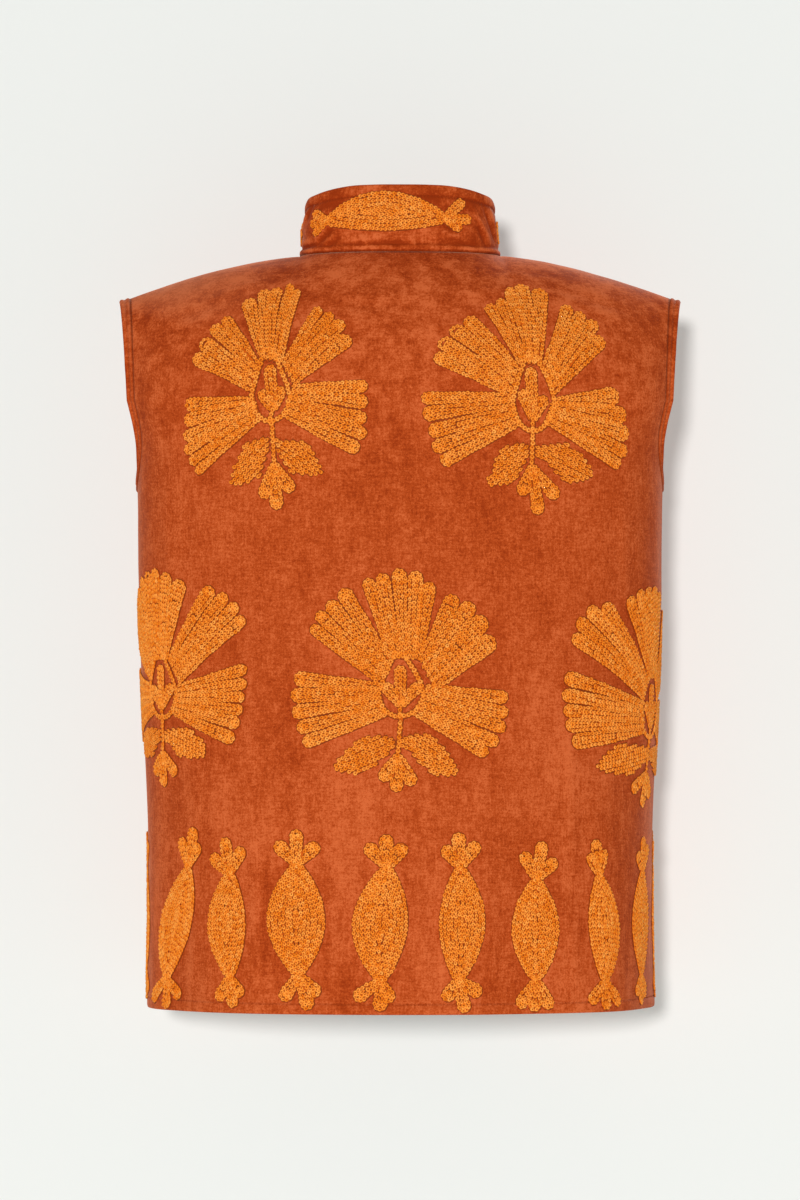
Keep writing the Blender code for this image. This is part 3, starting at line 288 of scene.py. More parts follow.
creases = {
    # lines on the cloth: from along, height, to along, height, half width, rise
    "neck": (
        (-0.055, -0.012, -0.128, -0.022, 0.003, 0.0013), (-0.048, -0.026, -0.11, -0.036, 0.0034, -0.0011),
        (-0.07, -0.002, -0.14, -0.01, 0.0028, 0.0011), (0.082, -0.01, 0.128, -0.026, 0.0034, 0.0013),
        (0.06, -0.03, 0.004, -0.022, 0.004, -0.001), (0.04, -0.014, -0.02, -0.012, 0.0032, 0.0008),
        (0.16, -0.02, 0.118, -0.012, 0.0034, 0.0011), (0.19, -0.04, 0.15, -0.03, 0.004, -0.0011),
        (-0.13, -0.03, -0.196, -0.042, 0.0036, 0.0011), (-0.15, -0.022, -0.2, -0.03, 0.003, -0.001),
        (-0.03, -0.048, -0.078, -0.06, 0.0044, 0.0008), (0.02, -0.06, 0.07, -0.05, 0.005, -0.0008),
    ),
    "drag": (
        (0.127, -0.315, 0.124, -0.42, 0.0048, 0.0009), (0.136, -0.33, 0.134, -0.4, 0.004, -0.0007),
        (0.083, -0.42, 0.08, -0.52, 0.005, 0.0008), (0.122, -0.47, 0.118, -0.6, 0.0044, 0.0008),
        (0.112, -0.5, 0.114, -0.606, 0.0036, -0.0007), (0.057, -0.52, 0.052, -0.6, 0.004, 0.0008),
        (-0.016, -0.51, -0.022, -0.604, 0.0042, 0.0008), (-0.03, -0.54, -0.026, -0.6, 0.0032, -0.0006),
        (-0.072, -0.48, -0.076, -0.59, 0.0046, 0.0007), (-0.142, -0.37, -0.146, -0.52, 0.0052, 0.0008),
        (-0.15, -0.54, -0.146, -0.606, 0.0036, 0.0007), (0.182, -0.5, 0.186, -0.606, 0.004, 0.0008),
        (0.176, -0.2, 0.186, -0.26, 0.0044, -0.0007), (-0.19, -0.2, -0.198, -0.29, 0.0046, 0.0007),
        (0.205, -0.2, 0.2, -0.3, 0.005, 0.0007), (-0.004, -0.2, -0.002, -0.262, 0.0052, 0.0005),
    ),
    "seed": 7,
    "round": 0.58,  # how far round the random ones lie, to each side
    # short upright ones just above the hem, and short ones all over
    "puckers": {"count": 150, "foot": (0.009, 0.016), "lean": (-0.004, 0.004), "length": (0.006, 0.035),
                "halfWidth": (0.0020, 0.0036), "rise": (0.00015, 0.00045)},
    "crush": {"count": 420, "heights": (0.02, 0.05), "lean": 0.55, "length": (0.008, 0.034),
              "halfWidth": (0.0024, 0.0052), "rise": (0.00012, 0.00040)},
    # slow unevenness: its height, how close its waves are along X, Y and Z, and its shift
    "waves": ((0.0011, (14, 14, 8), 0), (0.00042, (46, 46, 34), 9)),
    # how far the turned hem stands out, by the height above its edge
    "hemPuff": ((0, 0.0002), (0.002, 0.0007), (0.0065, 0.0006), (0.0077, 0.0001), (0.0083, -0.0004),
                (0.0089, 0.0001), (0.0100, 0.0003), (0.013, 0.0)),
    "seamPress": 0.9,  # how much flatter the cloth lies at a seam
    "seamReach": 0.006,
    "taper": 0.03,
}


def randomCreases():
    rng = random.Random(creases["seed"])
    puckers, crush, sideways = creases["puckers"], creases["crush"], creases["round"]
    made = []
    for _ in range(puckers["count"]):
        along, foot = rng.uniform(-sideways, sideways), form["hem"] + rng.uniform(*puckers["foot"])
        made.append((
            along, foot, along + rng.uniform(*puckers["lean"]), foot + rng.uniform(*puckers["length"]),
            rng.uniform(*puckers["halfWidth"]), rng.choice((-1, 1)) * rng.uniform(*puckers["rise"])))
    above, top = crush["heights"]
    for _ in range(crush["count"]):
        along, height = rng.uniform(-sideways, sideways), rng.uniform(form["hem"] + above, top)
        lean, length = rng.gauss(math.pi / 2, crush["lean"]), rng.uniform(*crush["length"])
        made.append((
            along, height, along + length * math.cos(lean), height + length * math.sin(lean),
            rng.uniform(*crush["halfWidth"]), rng.choice((-1, 1)) * rng.uniform(*crush["rise"])))
    return made


def creaseRise(along, height, lines):
    total = np.zeros(np.broadcast(along, height).shape)
    for x0, z0, x1, z1, halfWidth, rise in lines:
        dx, dz = x1 - x0, z1 - z0
        t = np.clip(((along - x0) * dx + (height - z0) * dz) / (dx * dx + dz * dz), 0, 1)
        gap = np.hypot(along - x0 - t * dx, height - z0 - t * dz)
        swell = np.sqrt(np.sin(math.pi * np.clip(t, creases["taper"], 1 - creases["taper"])))
        total += rise * swell * np.exp(-((gap / halfWidth) ** 2))
    return total


def unevenness(points):
    values = [
        sum(height * noise.noise(Vector((p[0] * x + shift, p[1] * y, p[2] * z)))
            for height, (x, y, z), shift in creases["waves"])
        for p in points.reshape(-1, 3)
    ]
    return np.array(values).reshape(points.shape[:-1])


cloth, reliefs, seams = {}, {}, {}
handCreases, looseCreases = creases["neck"] + creases["drag"], randomCreases()
hemPuff = np.interp(bodyHeights - form["hem"], *zip(*creases["hemPuff"]))
for (part, side), points in flat.items():
    along = around[part, side]
    bumps = np.zeros(points.shape[:2])
    for row, z in enumerate(bodyHeights):
        for place, halfWidth, out, top in form["folds"]:
            swell = out * max(0.0, (top - z) / (top - form["hem"])) ** form["foldFade"]
            bumps[:, row] += swell * np.exp(-(((along[:, row] - place) / halfWidth) ** 2))
    fine = creaseRise(along, upCloth[part][None], looseCreases) + unevenness(points)
    if part == "back":
        fine += creaseRise(along, upCloth[part][None], handCreases)
    columnLengths = np.stack([lengthsAlong(column) for column in points])
    toTop = columnLengths[:, -1:] - columnLengths
    toSide = widthLengths[part][-1:] - widthLengths[part]
    seam = np.minimum(toTop, toSide)
    fine *= 1 - creases["seamPress"] * np.exp(-((seam / creases["seamReach"]) ** 2))
    seams[part, side], reliefs[part, side] = seam, fine.copy()
    fine[:, lowRows] += hemPuff
    cloth[part, side] = points + flatNormals[part, side] * (bumps + fine)[..., None]
clothNormals = sharedNormals(cloth)
print("folds and creases pressed in")


# each value is linked into its socket if it comes from a node, and set there if it is a number or colour
def feed(tree, node, values):
    for name, value in values.items():
        if isinstance(value, bpy.types.NodeSocket):
            tree.links.new(value, node.inputs[name])
        else:
            node.inputs[name].default_value = value
    return node.outputs


def addNode(tree, kind, values, settings=()):
    node = tree.nodes.new(kind)
    for name, value in settings:
        setattr(node, name, value)
    return feed(tree, node, values)


def calc(tree, operation, *inputs, clamp=False):
    settings = (("operation", operation), ("use_clamp", clamp))
    return addNode(tree, "ShaderNodeMath", dict(enumerate(inputs)), settings)[0]


def scaled(tree, value, factor, offset=0.0, clamp=False):
    return calc(tree, "MULTIPLY_ADD", value, factor, offset, clamp=clamp)


def mixColours(tree, factor, first, second):
    return addNode(tree, "ShaderNodeMix", {0: factor, 6: first, 7: second}, (("data_type", "RGBA"),))[2]


def noiseValue(tree, vector, scale, detail, roughness, stretch=None):
    if stretch:
        vector = addNode(tree, "ShaderNodeMapping", {"Scale": stretch, "Vector": vector})["Vector"]
    values = {"Scale": scale, "Detail": detail, "Roughness": roughness, "Vector": vector}
    return addNode(tree, "ShaderNodeTexNoise", values)["Fac"]


def splitVector(tree, vector):
    return addNode(tree, "ShaderNodeSeparateXYZ", {0: vector})


def bumpNormal(tree, height, strength, distance):
    values = {"Strength": strength, "Distance": distance, "Height": height}
    return addNode(tree, "ShaderNodeBump", values)["Normal"]


def coordinates(tree, kind):
    return addNode(tree, "ShaderNodeTexCoord", {})[kind]


def clothMap(tree):
    return splitVector(tree, addNode(tree, "ShaderNodeUVMap", {}, (("uv_map", "cloth"),))["UV"])


def ownValue(tree, name):
    return addNode(tree, "ShaderNodeAttribute", {}, (("attribute_name", name),))["Fac"]


def mixShaders(tree, factor, first, second):
    return addNode(tree, "ShaderNodeMixShader", {0: factor, 1: first, 2: second})[0]


def newMaterial(name):
    material = bpy.data.materials.new(name)
    material.use_nodes = True
    return material, material.node_tree, material.node_tree.nodes["Principled BSDF"]


def newGroup(name, inputs, outputs):
    group = bpy.data.node_groups.new(name, "ShaderNodeTree")
    for socketName, kind, value in inputs:
        socket = group.interface.new_socket(name=socketName, in_out="INPUT", socket_type=kind)
        if value is not None:
            socket.default_value = value
    for socketName, kind in outputs:
        group.interface.new_socket(name=socketName, in_out="OUTPUT", socket_type=kind)
    return group, group.nodes.new("NodeGroupInput").outputs, group.nodes.new("NodeGroupOutput")


velvet = {
    "dark": (0.300, 0.032, 0.0032, 1),
    "middle": (0.453, 0.0640, 0.0092, 1),
    "light": (0.640, 0.129, 0.0345, 1),
    # rubbed, dusty pile with painted sheen on the left shoulder
    "rubbed": (0.620, 0.200, 0.0900, 1),
    # seam: the colour of the painted shade at seams and in the grooves of stitched lines
    "seam": (0.150, 0.018, 0.0030, 1),
    "sheen": 0.16,
    "sheenTint": (1.0, 0.52, 0.34, 1),
    "sheenRoughness": 0.35,
    "specular": 0.05,
    "roughness": 0.82,
    "bump": (0.55, 0.0007),  # strength and distance
    # the slope and the offset of each zone along its axis, and how much lighter the pile is there
    "shoulders": (1 / 0.18, 0.22 / 0.18),
    "shouldersTone": 0.10,
    "hem": (-1 / 0.22, -0.28 / 0.22),
    "hemTone": 0.20,
    # up, left and behind: where the pile is rubbed and dusty pale, with painted sheen where it turns up
    "rubbedAndSheenZones": ((1 / 0.36, -0.50 / 0.36), (1 / 0.08, -0.10 / 0.08), (1 / 0.04, 0.5)),
    "rubbedAndSheenTone": 0.55,
    "dust": 0.36,
    "napRoughness": 0.16,
    "napHeight": 0.35,
    "crushedHeight": 0.8,
    # scale, detail, roughness, stretch and strength of each kind of unevenness, and where it is
    "layers": {
        "clouds": (11, 2.0, 0.50, (1, 1, 0.7), 0.50, None),
        "shoulderMarks": (34, 4.0, 0.70, (0.8, 1, 1.2), 4.20, "shoulders"),
        "hemMarks": (90, 3.0, 0.55, (1, 1, 0.20), 1.80, "hem"),
        "streaks": (60, 3.0, 0.55, (1, 1, 0.25), 0.80, None),
        "blotches": (48, 4.0, 0.62, None, 0.85, None),
        "shoulderBlotches": (75, 4.0, 0.65, None, 3.20, "shoulders"),
        "warp": (700, 1.0, 0.50, (1, 1, 0.14), 1.10, None),
        "weft": (700, 1.0, 0.50, (0.14, 0.14, 1), 1.10, None),
        "crushed": (190, 3.0, 0.75, (1, 1, 0.8), 2.00, None),
        "nap": (620, 3.0, 0.85, None, 4.40, None),
    },
    # how far the painted shade reaches from a seam, and how dark it is
    "seamWidth": 0.0016,
    "seamDark": 0.75,
    "edgeWidth": 0.006,
    "edgeTone": 0.25,
    "groove": 0.16,  # how dark the painted shade in a stitched line's groove is
    "thread": 0.9,
    # painted light on crease ridges and painted shade in crease hollows, for each metre they rise or sink
    "creaseShading": 420.0,
    "ripples": 900.0,  # puckers beside the seams
    "rippleHeight": 0.35,
}


# colour, roughness and height of brushed pile, lighter where it is rubbed, with painted sheen where the left
# shoulder turns up, and darker where it lies away
def velvetPileGroup():
    colour, value = "NodeSocketColor", "NodeSocketFloat"
    tree, start, end = newGroup(
        "velvetPile",
        (("Vector", "NodeSocketVector", None), ("Shade", value, 0.0), ("Dark", colour, velvet["dark"]),
         ("Middle", colour, velvet["middle"]), ("Light", colour, velvet["light"])),
        (("Color", colour), ("Roughness", value), ("Height", value)),
    )
    at = start["Vector"]
    place = splitVector(tree, at)
    zones = {name: scaled(tree, place["Z"], *velvet[name], clamp=True) for name in ("shoulders", "hem")}
    total, layers = 0.0, {}
    for name, (scale, detail, roughness, stretch, strength, where) in velvet["layers"].items():
        layers[name] = noiseValue(tree, at, scale, detail, roughness, stretch)
        share = scaled(tree, layers[name], strength, -strength / 2)
        if where:
            share = calc(tree, "MULTIPLY", share, zones[where])
        total = calc(tree, "ADD", total, share)
    total = calc(tree, "ADD", total, start["Shade"])
    for name in ("hem", "shoulders"):
        total = scaled(tree, zones[name], velvet[name + "Tone"], total)
    # rubbed and dusty pale, and painted sheen, where the back of the left shoulder turns up
    facing = splitVector(tree, coordinates(tree, "Normal"))
    up, left, behind = (
        scaled(tree, value, *zone, clamp=True)
        for value, zone in zip((facing["Z"], place["X"], place["Y"]), velvet["rubbedAndSheenZones"])
    )
    rubbed = calc(tree, "MULTIPLY", calc(tree, "MULTIPLY", left, up), behind)
    total = scaled(tree, rubbed, velvet["rubbedAndSheenTone"], total)
    low, high = (calc(tree, "MULTIPLY", total, sign, clamp=True) for sign in (-1.0, 1.0))
    tinted = mixColours(tree, low, start["Middle"], start["Dark"])
    tinted = mixColours(tree, high, tinted, start["Light"])
    tinted = mixColours(tree, calc(tree, "MULTIPLY", rubbed, velvet["dust"]), tinted, velvet["rubbed"])
    feed(tree, end, {
        "Color": tinted,
        "Roughness": scaled(
            tree, layers["nap"], velvet["napRoughness"], velvet["roughness"] - velvet["napRoughness"] / 2),
        "Height": scaled(
            tree, layers["crushed"], velvet["crushedHeight"],
            calc(tree, "MULTIPLY", layers["nap"], velvet["napHeight"])),
    })
    return tree


# a line of machine stitches in a groove at one height of a value, with the stitches told apart by another
def stitchLineGroup():
    value = "NodeSocketFloat"
    tree, start, end = newGroup(
        "stitchLine",
        (("Across", value, 0.0), ("Along", value, 0.0), ("Place", value, 0.008),
         ("Half Width", value, 0.0006), ("Stitch", value, 0.0030)),
        (("Groove", value), ("Thread", value)),
    )
    off = calc(tree, "SUBTRACT", start["Across"], start["Place"])
    off = calc(tree, "DIVIDE", off, start["Half Width"])
    off = calc(tree, "MULTIPLY", off, off)
    groove = calc(tree, "POWER", 2.718, calc(tree, "MULTIPLY", off, -1.0))
    beat = calc(tree, "DIVIDE", start["Along"], start["Stitch"])
    beat = scaled(tree, calc(tree, "PINGPONG", beat, 0.5), 4.0, -0.5, clamp=True)
    feed(tree, end, {"Groove": groove, "Thread": calc(tree, "MULTIPLY", groove, beat)})
    return tree


pileGroup, lineGroup = velvetPileGroup(), stitchLineGroup()


# velvet with painted shade at its seams and painted light and shade on its creases, and a stitched line on
# each of the heights given in the piece's own map
def velvetMaterial(name, lines, shade=0.0, creaseShading=velvet["creaseShading"]):
    material, tree, shader = newMaterial(name)
    place = clothMap(tree)
    seam = ownValue(tree, "seam")
    # painted shade where the cloth turns into a seam
    dark = scaled(tree, seam, -1 / velvet["seamWidth"], 1.0, clamp=True)
    edge = scaled(tree, seam, -1 / velvet["edgeWidth"], 1.0, clamp=True)
    # painted light on crease ridges and painted shade in crease hollows, with a lighter tone near the seams
    creaseShadingAndEdgeTone = scaled(tree, edge, velvet["edgeTone"], scaled(tree, ownValue(tree, "crease"), creaseShading, shade))
    values = {"Vector": coordinates(tree, "Object"), "Shade": creaseShadingAndEdgeTone}
    pile = addNode(tree, "ShaderNodeGroup", values, (("node_tree", pileGroup),))
    height, seamAndGrooveShade = pile["Height"], calc(tree, "MULTIPLY", dark, velvet["seamDark"])
    for level in lines:
        values = {"Across": place["Y"], "Along": place["X"], "Place": level}
        line = addNode(tree, "ShaderNodeGroup", values, (("node_tree", lineGroup),))
        # painted shade in the groove of each stitched line
        seamAndGrooveShade = calc(tree, "MAXIMUM", seamAndGrooveShade, calc(tree, "MULTIPLY", line["Groove"], velvet["groove"]))
        height = scaled(tree, line["Thread"], velvet["thread"], scaled(tree, line["Groove"], -1.0, height))
    ripple = calc(tree, "SINE", calc(tree, "MULTIPLY", place["Y"], velvet["ripples"]))
    height = scaled(tree, calc(tree, "MULTIPLY", ripple, edge), velvet["rippleHeight"], height)
    feed(tree, shader, {
        "Base Color": mixColours(tree, seamAndGrooveShade, pile["Color"], velvet["seam"]),
        "Roughness": pile["Roughness"],
        "Normal": bumpNormal(tree, height, *velvet["bump"]),
        "Sheen Weight": velvet["sheen"],
        "Sheen Roughness": velvet["sheenRoughness"],
        "Sheen Tint": velvet["sheenTint"],
        "Specular IOR Level": velvet["specular"],
    })
    return material


lining = {
    "colour": (0.420, 0.085, 0.022, 1),
    "dark": (0.300, 0.050, 0.012, 1),
    "threads": 1500.0,
    "threadTone": 0.25,
    "clouds": (30, 4.0, 0.6),
    "bump": (0.4, 0.0003),
    "roughness": 0.86,
    "specular": 0.15,
}


# plain woven cotton inside the body
def liningMaterial():
    material, tree, shader = newMaterial("cottonLining")
    place = clothMap(tree)
    warp, weft = (
        calc(tree, "SINE", calc(tree, "MULTIPLY", place[axis], lining["threads"])) for axis in "XY")
    woven = calc(tree, "MULTIPLY", warp, weft)
    cloudy = noiseValue(tree, coordinates(tree, "Object"), *lining["clouds"])
    factor = scaled(tree, woven, lining["threadTone"], cloudy, clamp=True)
    feed(tree, shader, {
        "Base Color": mixColours(tree, factor, lining["dark"], lining["colour"]),
        "Normal": bumpNormal(tree, woven, *lining["bump"]),
        "Roughness": lining["roughness"],
        "Specular IOR Level": lining["specular"],
    })
    return material


wool = {
    # pile: the dark colour of the pile pressed down round the rows and of the painted contact shadow there
    "pile": (0.225, 0.034, 0.0015, 1),
    "shadow": (0.620, 0.105, 0.0005, 1),
    "middle": (1.000, 0.280, 0.0100, 1),
    "light": (1.000, 0.415, 0.0760, 1),
    "fibres": (1300, 2.0, 0.6),
    "faded": (26, 3.0, 0.55),
    "fibreTone": 0.36,
    "fadedTone": 0.3,
    "high": (1.4, 0.34),  # how strongly the tone lightens the yarn, and from where
    "low": -0.7,
    "shadowStripFrom": 1.5,  # the depth from which it is the strip of pressed pile and painted contact shadow beneath the stitches
    "roughness": 0.78,
    "fibreRoughness": 0.2,
    "bump": (0.5, 0.0004),
    "sheen": 0.10,
    "sheenTint": (1.0, 0.55, 0.20, 1),
    "sheenRoughness": 0.5,
    "specular": 0.16,
}


# twisted wool: each stitch has its own tone, with painted shade low down and inside the loops, painted shade
# on the yarn between the loops, and the dark strips of pressed pile and painted contact shadow beneath
def woolMaterial():
    material, tree, shader = newMaterial("orangeWool")
    at = coordinates(tree, "Object")
    tone, depth = ownValue(tree, "tone"), ownValue(tree, "depth")
    fibres, faded = (noiseValue(tree, at, *wool[layer]) for layer in ("fibres", "faded"))
    total = calc(tree, "ADD", scaled(tree, fibres, wool["fibreTone"], -wool["fibreTone"] / 2), tone)
    total = calc(tree, "ADD", total, scaled(tree, faded, wool["fadedTone"], -wool["fadedTone"] / 2))
    high = scaled(tree, total, *wool["high"], clamp=True)
    # painted shade: the depth value darkens the yarn towards the shadow colour
    low = scaled(tree, total, wool["low"], depth, clamp=True)
    tinted = mixColours(tree, high, wool["middle"], wool["light"])
    tinted = mixColours(tree, low, tinted, wool["shadow"])
    # the strips of pressed pile and painted contact shadow under the rows
    pressed = calc(tree, "GREATER_THAN", depth, wool["shadowStripFrom"])
    feed(tree, shader, {
        "Base Color": mixColours(tree, pressed, tinted, wool["pile"]),
        "Normal": bumpNormal(tree, fibres, *wool["bump"]),
        "Roughness": scaled(
            tree, fibres, wool["fibreRoughness"], wool["roughness"] - wool["fibreRoughness"] / 2),
        "Sheen Weight": wool["sheen"],
        "Sheen Roughness": wool["sheenRoughness"],
        "Sheen Tint": wool["sheenTint"],
        "Specular IOR Level": wool["specular"],
    })
    return material


panelVelvet = velvetMaterial("velvetPanels", [form["hem"] + form["hemStitch"]])
cotton = liningMaterial()
orangeWool = woolMaterial()
print("materials mixed")


def setMap(mesh, along, height):
    layer = mesh.uv_layers.new(name="cloth")
    corner = np.empty(len(mesh.loops), dtype=np.int32)
    mesh.loops.foreach_get("vertex_index", corner)
    places = np.stack([along[corner], height[corner]], axis=1)
    layer.data.foreach_set("uv", places.astype(np.float32).ravel())


def setValues(mesh, name, values):
    layer = mesh.attributes.new(name, "FLOAT", "POINT")
    layer.data.foreach_set("value", np.asarray(values, dtype=np.float32))


def linked(name, mesh):
    piece = bpy.data.objects.new(name, mesh)
    bpy.context.scene.collection.objects.link(piece)
    return piece


def newPiece(name, vertices, faces, materials, faceMaterials, along, height, crease, seam):
    mesh = bpy.data.meshes.new(name)
    mesh.from_pydata(vertices.tolist(), [], faces)
    if len(materials) > 1:
        mesh.polygons.foreach_set("material_index", faceMaterials)
    mesh.polygons.foreach_set("use_smooth", np.ones(len(faces), dtype=bool))
    setMap(mesh, along, height)
    setValues(mesh, "crease", crease)
    setValues(mesh, "seam", seam)
    for material in materials:
        mesh.materials.append(material)
    work = bmesh.new()
    work.from_mesh(mesh)
    bmesh.ops.recalc_face_normals(work, faces=work.faces)
    work.to_mesh(mesh)
    work.free()
    return linked(name, mesh)


rim = {
    "thickness": 0.0022,
    "bulge": 0.0007,
    # the three lines round the edge: shares of the outside and of the inside, and of the bulge
    "lines": ((0.8, 0.2, 0.75), (0.5, 0.5, 1.0), (0.2, 0.8, 0.75)),
}


# a sheet with an outside and an inside, joined by a rounded edge
def closedSheet(name, outer, normals, along, height, crease, seam, materials):
    columns, rows = outer.shape[:2]
    count = columns * rows
    inner = outer - normals * rim["thickness"]
    number = np.arange(count).reshape(columns, rows)
    corners = [number[:-1, :-1], number[1:, :-1], number[1:, 1:], number[:-1, 1:]]
    quads = np.stack(corners, axis=-1).reshape(-1, 4)
    border, beside = (
        np.concatenate([
            number[:, line], number[-1 - line, 1:], number[-2::-1, -1 - line], number[line, -2:0:-1]])
        for line in (0, 1)
    )
    outer, inner = outer.reshape(-1, 3), inner.reshape(-1, 3)
    off = unitRows(outer[border] - outer[beside], 1e-9) * rim["bulge"]
    lines = [outer[border] * a + inner[border] * b + off * out for a, b, out in rim["lines"]]
    edges = len(border)
    loops = [border, *(2 * count + np.arange(3 * edges).reshape(3, edges)), count + border]
    rims = [np.stack([a, np.roll(a, -1), np.roll(b, -1), b], axis=-1) for a, b in zip(loops, loops[1:])]
    faces = np.concatenate([quads, count + quads[:, ::-1], *rims])
    kinds = np.zeros(len(faces), dtype=np.int32)
    kinds[len(quads) : 2 * len(quads)] = 1
    values = [
        np.concatenate([v.ravel(), v.ravel(), np.tile(v.ravel()[border], 3)])
        for v in (along, height, crease, seam)
    ]
    return newPiece(name, np.concatenate([outer, inner, *lines]), faces.tolist(), materials, kinds, *values)


# the edge is moved towards the line of points inside it, by half the gap of a seam
def drawIn(edge, inside):
    step = inside - edge
    edge += step * (form["seamGap"] / 2) / np.linalg.norm(step, axis=1)[:, None]


def declareSheet(piece, held, restsOn, width, length):
    work = bmesh.new()
    work.from_mesh(piece.data)
    cut = sum(face.calc_area() for face in work.faces) / 2
    work.free()
    print(piece.name, "cut from", round(cut, 4), "square metres")


# the width and the length that each panel is cut from
panelCuts = {
    "panel_back": (0.60, 0.70),
    "panel_front_left": (0.31, 0.70),
    "panel_front_right": (0.31, 0.70),
}
panelMaterials = (panelVelvet, cotton)
halves = {}
for (part, side), points in cloth.items():
    points = points.copy()
    drawIn(points[-1, lowRows], points[-2, lowRows])
    drawIn(points[neckLast:, -1], points[neckLast:, -2])
    heights = np.tile(upCloth[part], (len(shares), 1))
    key = part, side
    halves[key] = [points, clothNormals[key], around[key], heights, reliefs[key], seams[key]]
backHalves = [
    np.concatenate([right[:0:-1], left]) for right, left in zip(halves["back", -1], halves["back", 1])]
pieces = {"panel_back": closedSheet("panelBack", *backHalves, panelMaterials)}
for side, word in ((1, "left"), (-1, "right")):
    grid = [values[::-1] if side > 0 else values for values in halves["front", side]]
    pieces[f"panel_front_{word}"] = closedSheet(f"panelFront{word.capitalize()}", *grid, panelMaterials)
for node, piece in pieces.items():
    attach(piece, "root")
    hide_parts(node)
    declareSheet(piece, "hung", ["collar"], *panelCuts[node])
print("back and fronts sewn")


collar = {
    "backHeight": 0.0555,
    # how far round from the middle of the back, as a share of half a turn, and the height there
    "heights": (
        (0, 0.0555), (0.12, 0.0554), (0.215, 0.0547), (0.319, 0.0516), (0.368, 0.0494), (0.414, 0.0476),
        (0.5, 0.0433), (0.62, 0.04), (0.8, 0.0384), (1, 0.038),
    ),
    "lean": 0.0040,
    "thickness": 0.0030,
    "stitchShare": 0.825,
    "shade": -0.50,
    # how strongly the collar's creases and profile are painted light and shade
    "creaseShading": 800.0,
    "finer": 3,  # how many of its columns there are to one of the body's
    # share of the height, and how far the outside stands out: a rolled ridge, the stand, a groove and the
    # top strip
    "profile": (
        (0, 0.0), (0.016, 0.0009), (0.042, 0.0018), (0.075, 0.0017), (0.102, 0.0006), (0.122, -0.0004),
        (0.15, 0.0001), (0.22, 0.0004), (0.5, 0.0006), (0.76, 0.0003), (0.8, -0.0002), (0.822, -0.0007),
        (0.84, 0.0), (0.87, 0.0007), (0.92, 0.0009), (0.965, 0.0006), (0.99, 0.0001),
    ),
    "insideProfile": ((0.78, 0), (0.824, -0.0006), (0.87, 0.0003), (0.97, 0.0)),
    "insideShare": 0.6,  # how much of the creases shows inside
    "topEdge": ((0.0006, 0.00025), (0.0015, 0.0), (0.0024, 0.00025)),  # how far in, and how far down
    "levels": (
        0.012, 0.022, 0.032, 0.043, 0.054, 0.066, 0.078, 0.09, 0.102, 0.118, 0.14, 0.17, 0.21, 0.26, 0.31,
        0.36, 0.42, 0.48, 0.54, 0.6, 0.66, 0.71, 0.75, 0.78, 0.8, 0.813, 0.824, 0.835, 0.848, 0.865, 0.89,
        0.92, 0.95, 0.975, 0.992,
    ),
    # share of the height, and how much painted light or shade it has: light on the rolled ridge and the top
    # strip, shade below the ridge and in the grooves
    "wear": (
        (0, -0.0014), (0.02, -0.001), (0.045, 0.0017), (0.08, 0.0013), (0.108, -0.0014), (0.13, -0.0012),
        (0.17, 0.0003), (0.6, 0.0), (0.785, -0.0002), (0.815, -0.0016), (0.832, -0.0012), (0.865, 0.0004),
        (0.93, 0.0008), (1, 0.0006),
    ),
    # how patchy that painted light and shade is: its mean, its strength, how close the patches are, and
    # their place
    "patches": (0.75, 1.1, 26, 4),
    "lumps": (0.0004, 60, 3),  # their height, and how close they are along and up
    "flatFoot": 0.1,  # the creases die away below this share of the height
    "seamAtBase": 0.0006,
    "seamAtEnds": 0.0012,
    "cut": (0.44, 0.058),
    # along, height, to along, height, half width, rise
    "creases": (
        (0.06, 0.0245, 0.078, 0.0115, 0.0019, 0.002), (0.076, 0.0125, 0.106, 0.0085, 0.002, 0.0019),
        (0.059, 0.0195, 0.074, 0.008, 0.0016, -0.0019), (0.074, 0.008, 0.102, 0.004, 0.0017, -0.0017),
        (0.054, 0.0165, 0.068, 0.006, 0.0016, 0.0016), (0.05, 0.0135, 0.062, 0.005, 0.0015, -0.0013),
        (0.044, 0.0105, 0.008, 0.0115, 0.0034, 0.001), (0.008, 0.0125, -0.038, 0.0125, 0.0034, 0.0009),
        (0.034, 0.015, 0.026, 0.0045, 0.0016, 0.0009), (0.025, 0.014, 0.018, 0.0045, 0.0015, -0.001),
        (0.011, 0.008, -0.002, 0.0045, 0.0016, -0.0008), (-0.006, 0.013, -0.014, 0.004, 0.0016, 0.0009),
        (-0.012, 0.015, -0.03, 0.008, 0.0017, -0.001), (-0.03, 0.0185, -0.054, 0.011, 0.002, 0.0014),
        (-0.033, 0.0235, -0.051, 0.0165, 0.0016, -0.0014), (-0.042, 0.011, -0.066, 0.005, 0.002, -0.0012),
        (-0.062, 0.039, -0.085, 0.009, 0.0026, 0.0018), (-0.056, 0.042, -0.07, 0.03, 0.002, -0.001),
        (-0.069, 0.024, -0.078, 0.007, 0.0018, -0.0014), (-0.078, 0.039, -0.094, 0.011, 0.0022, -0.0017),
        (-0.089, 0.038, -0.102, 0.008, 0.0026, 0.0014), (0.084, 0.042, 0.096, 0.026, 0.0026, -0.0012),
        (0.096, 0.036, 0.114, 0.016, 0.0026, 0.0014), (0.048, 0.043, 0.082, 0.0345, 0.002, -0.001),
        (0.03, 0.046, 0.07, 0.041, 0.0022, 0.0008), (0.118, 0.034, 0.126, 0.01, 0.0034, 0.0008),
        (-0.122, 0.034, -0.112, 0.01, 0.0034, -0.0008), (0.186, 0.03, 0.18, 0.006, 0.0036, -0.0008),
        (-0.188, 0.03, -0.182, 0.006, 0.0036, 0.0008),
    ),
}


def awayFrom(points, normals, closed, off):
    if closed:
        along = np.roll(points, -1, axis=0) - np.roll(points, 1, axis=0)
    else:
        along = np.gradient(points, axis=0)
    away = unitRows(np.cross(along, normals))
    return away * np.sign((away * off).sum(axis=1))[:, None]


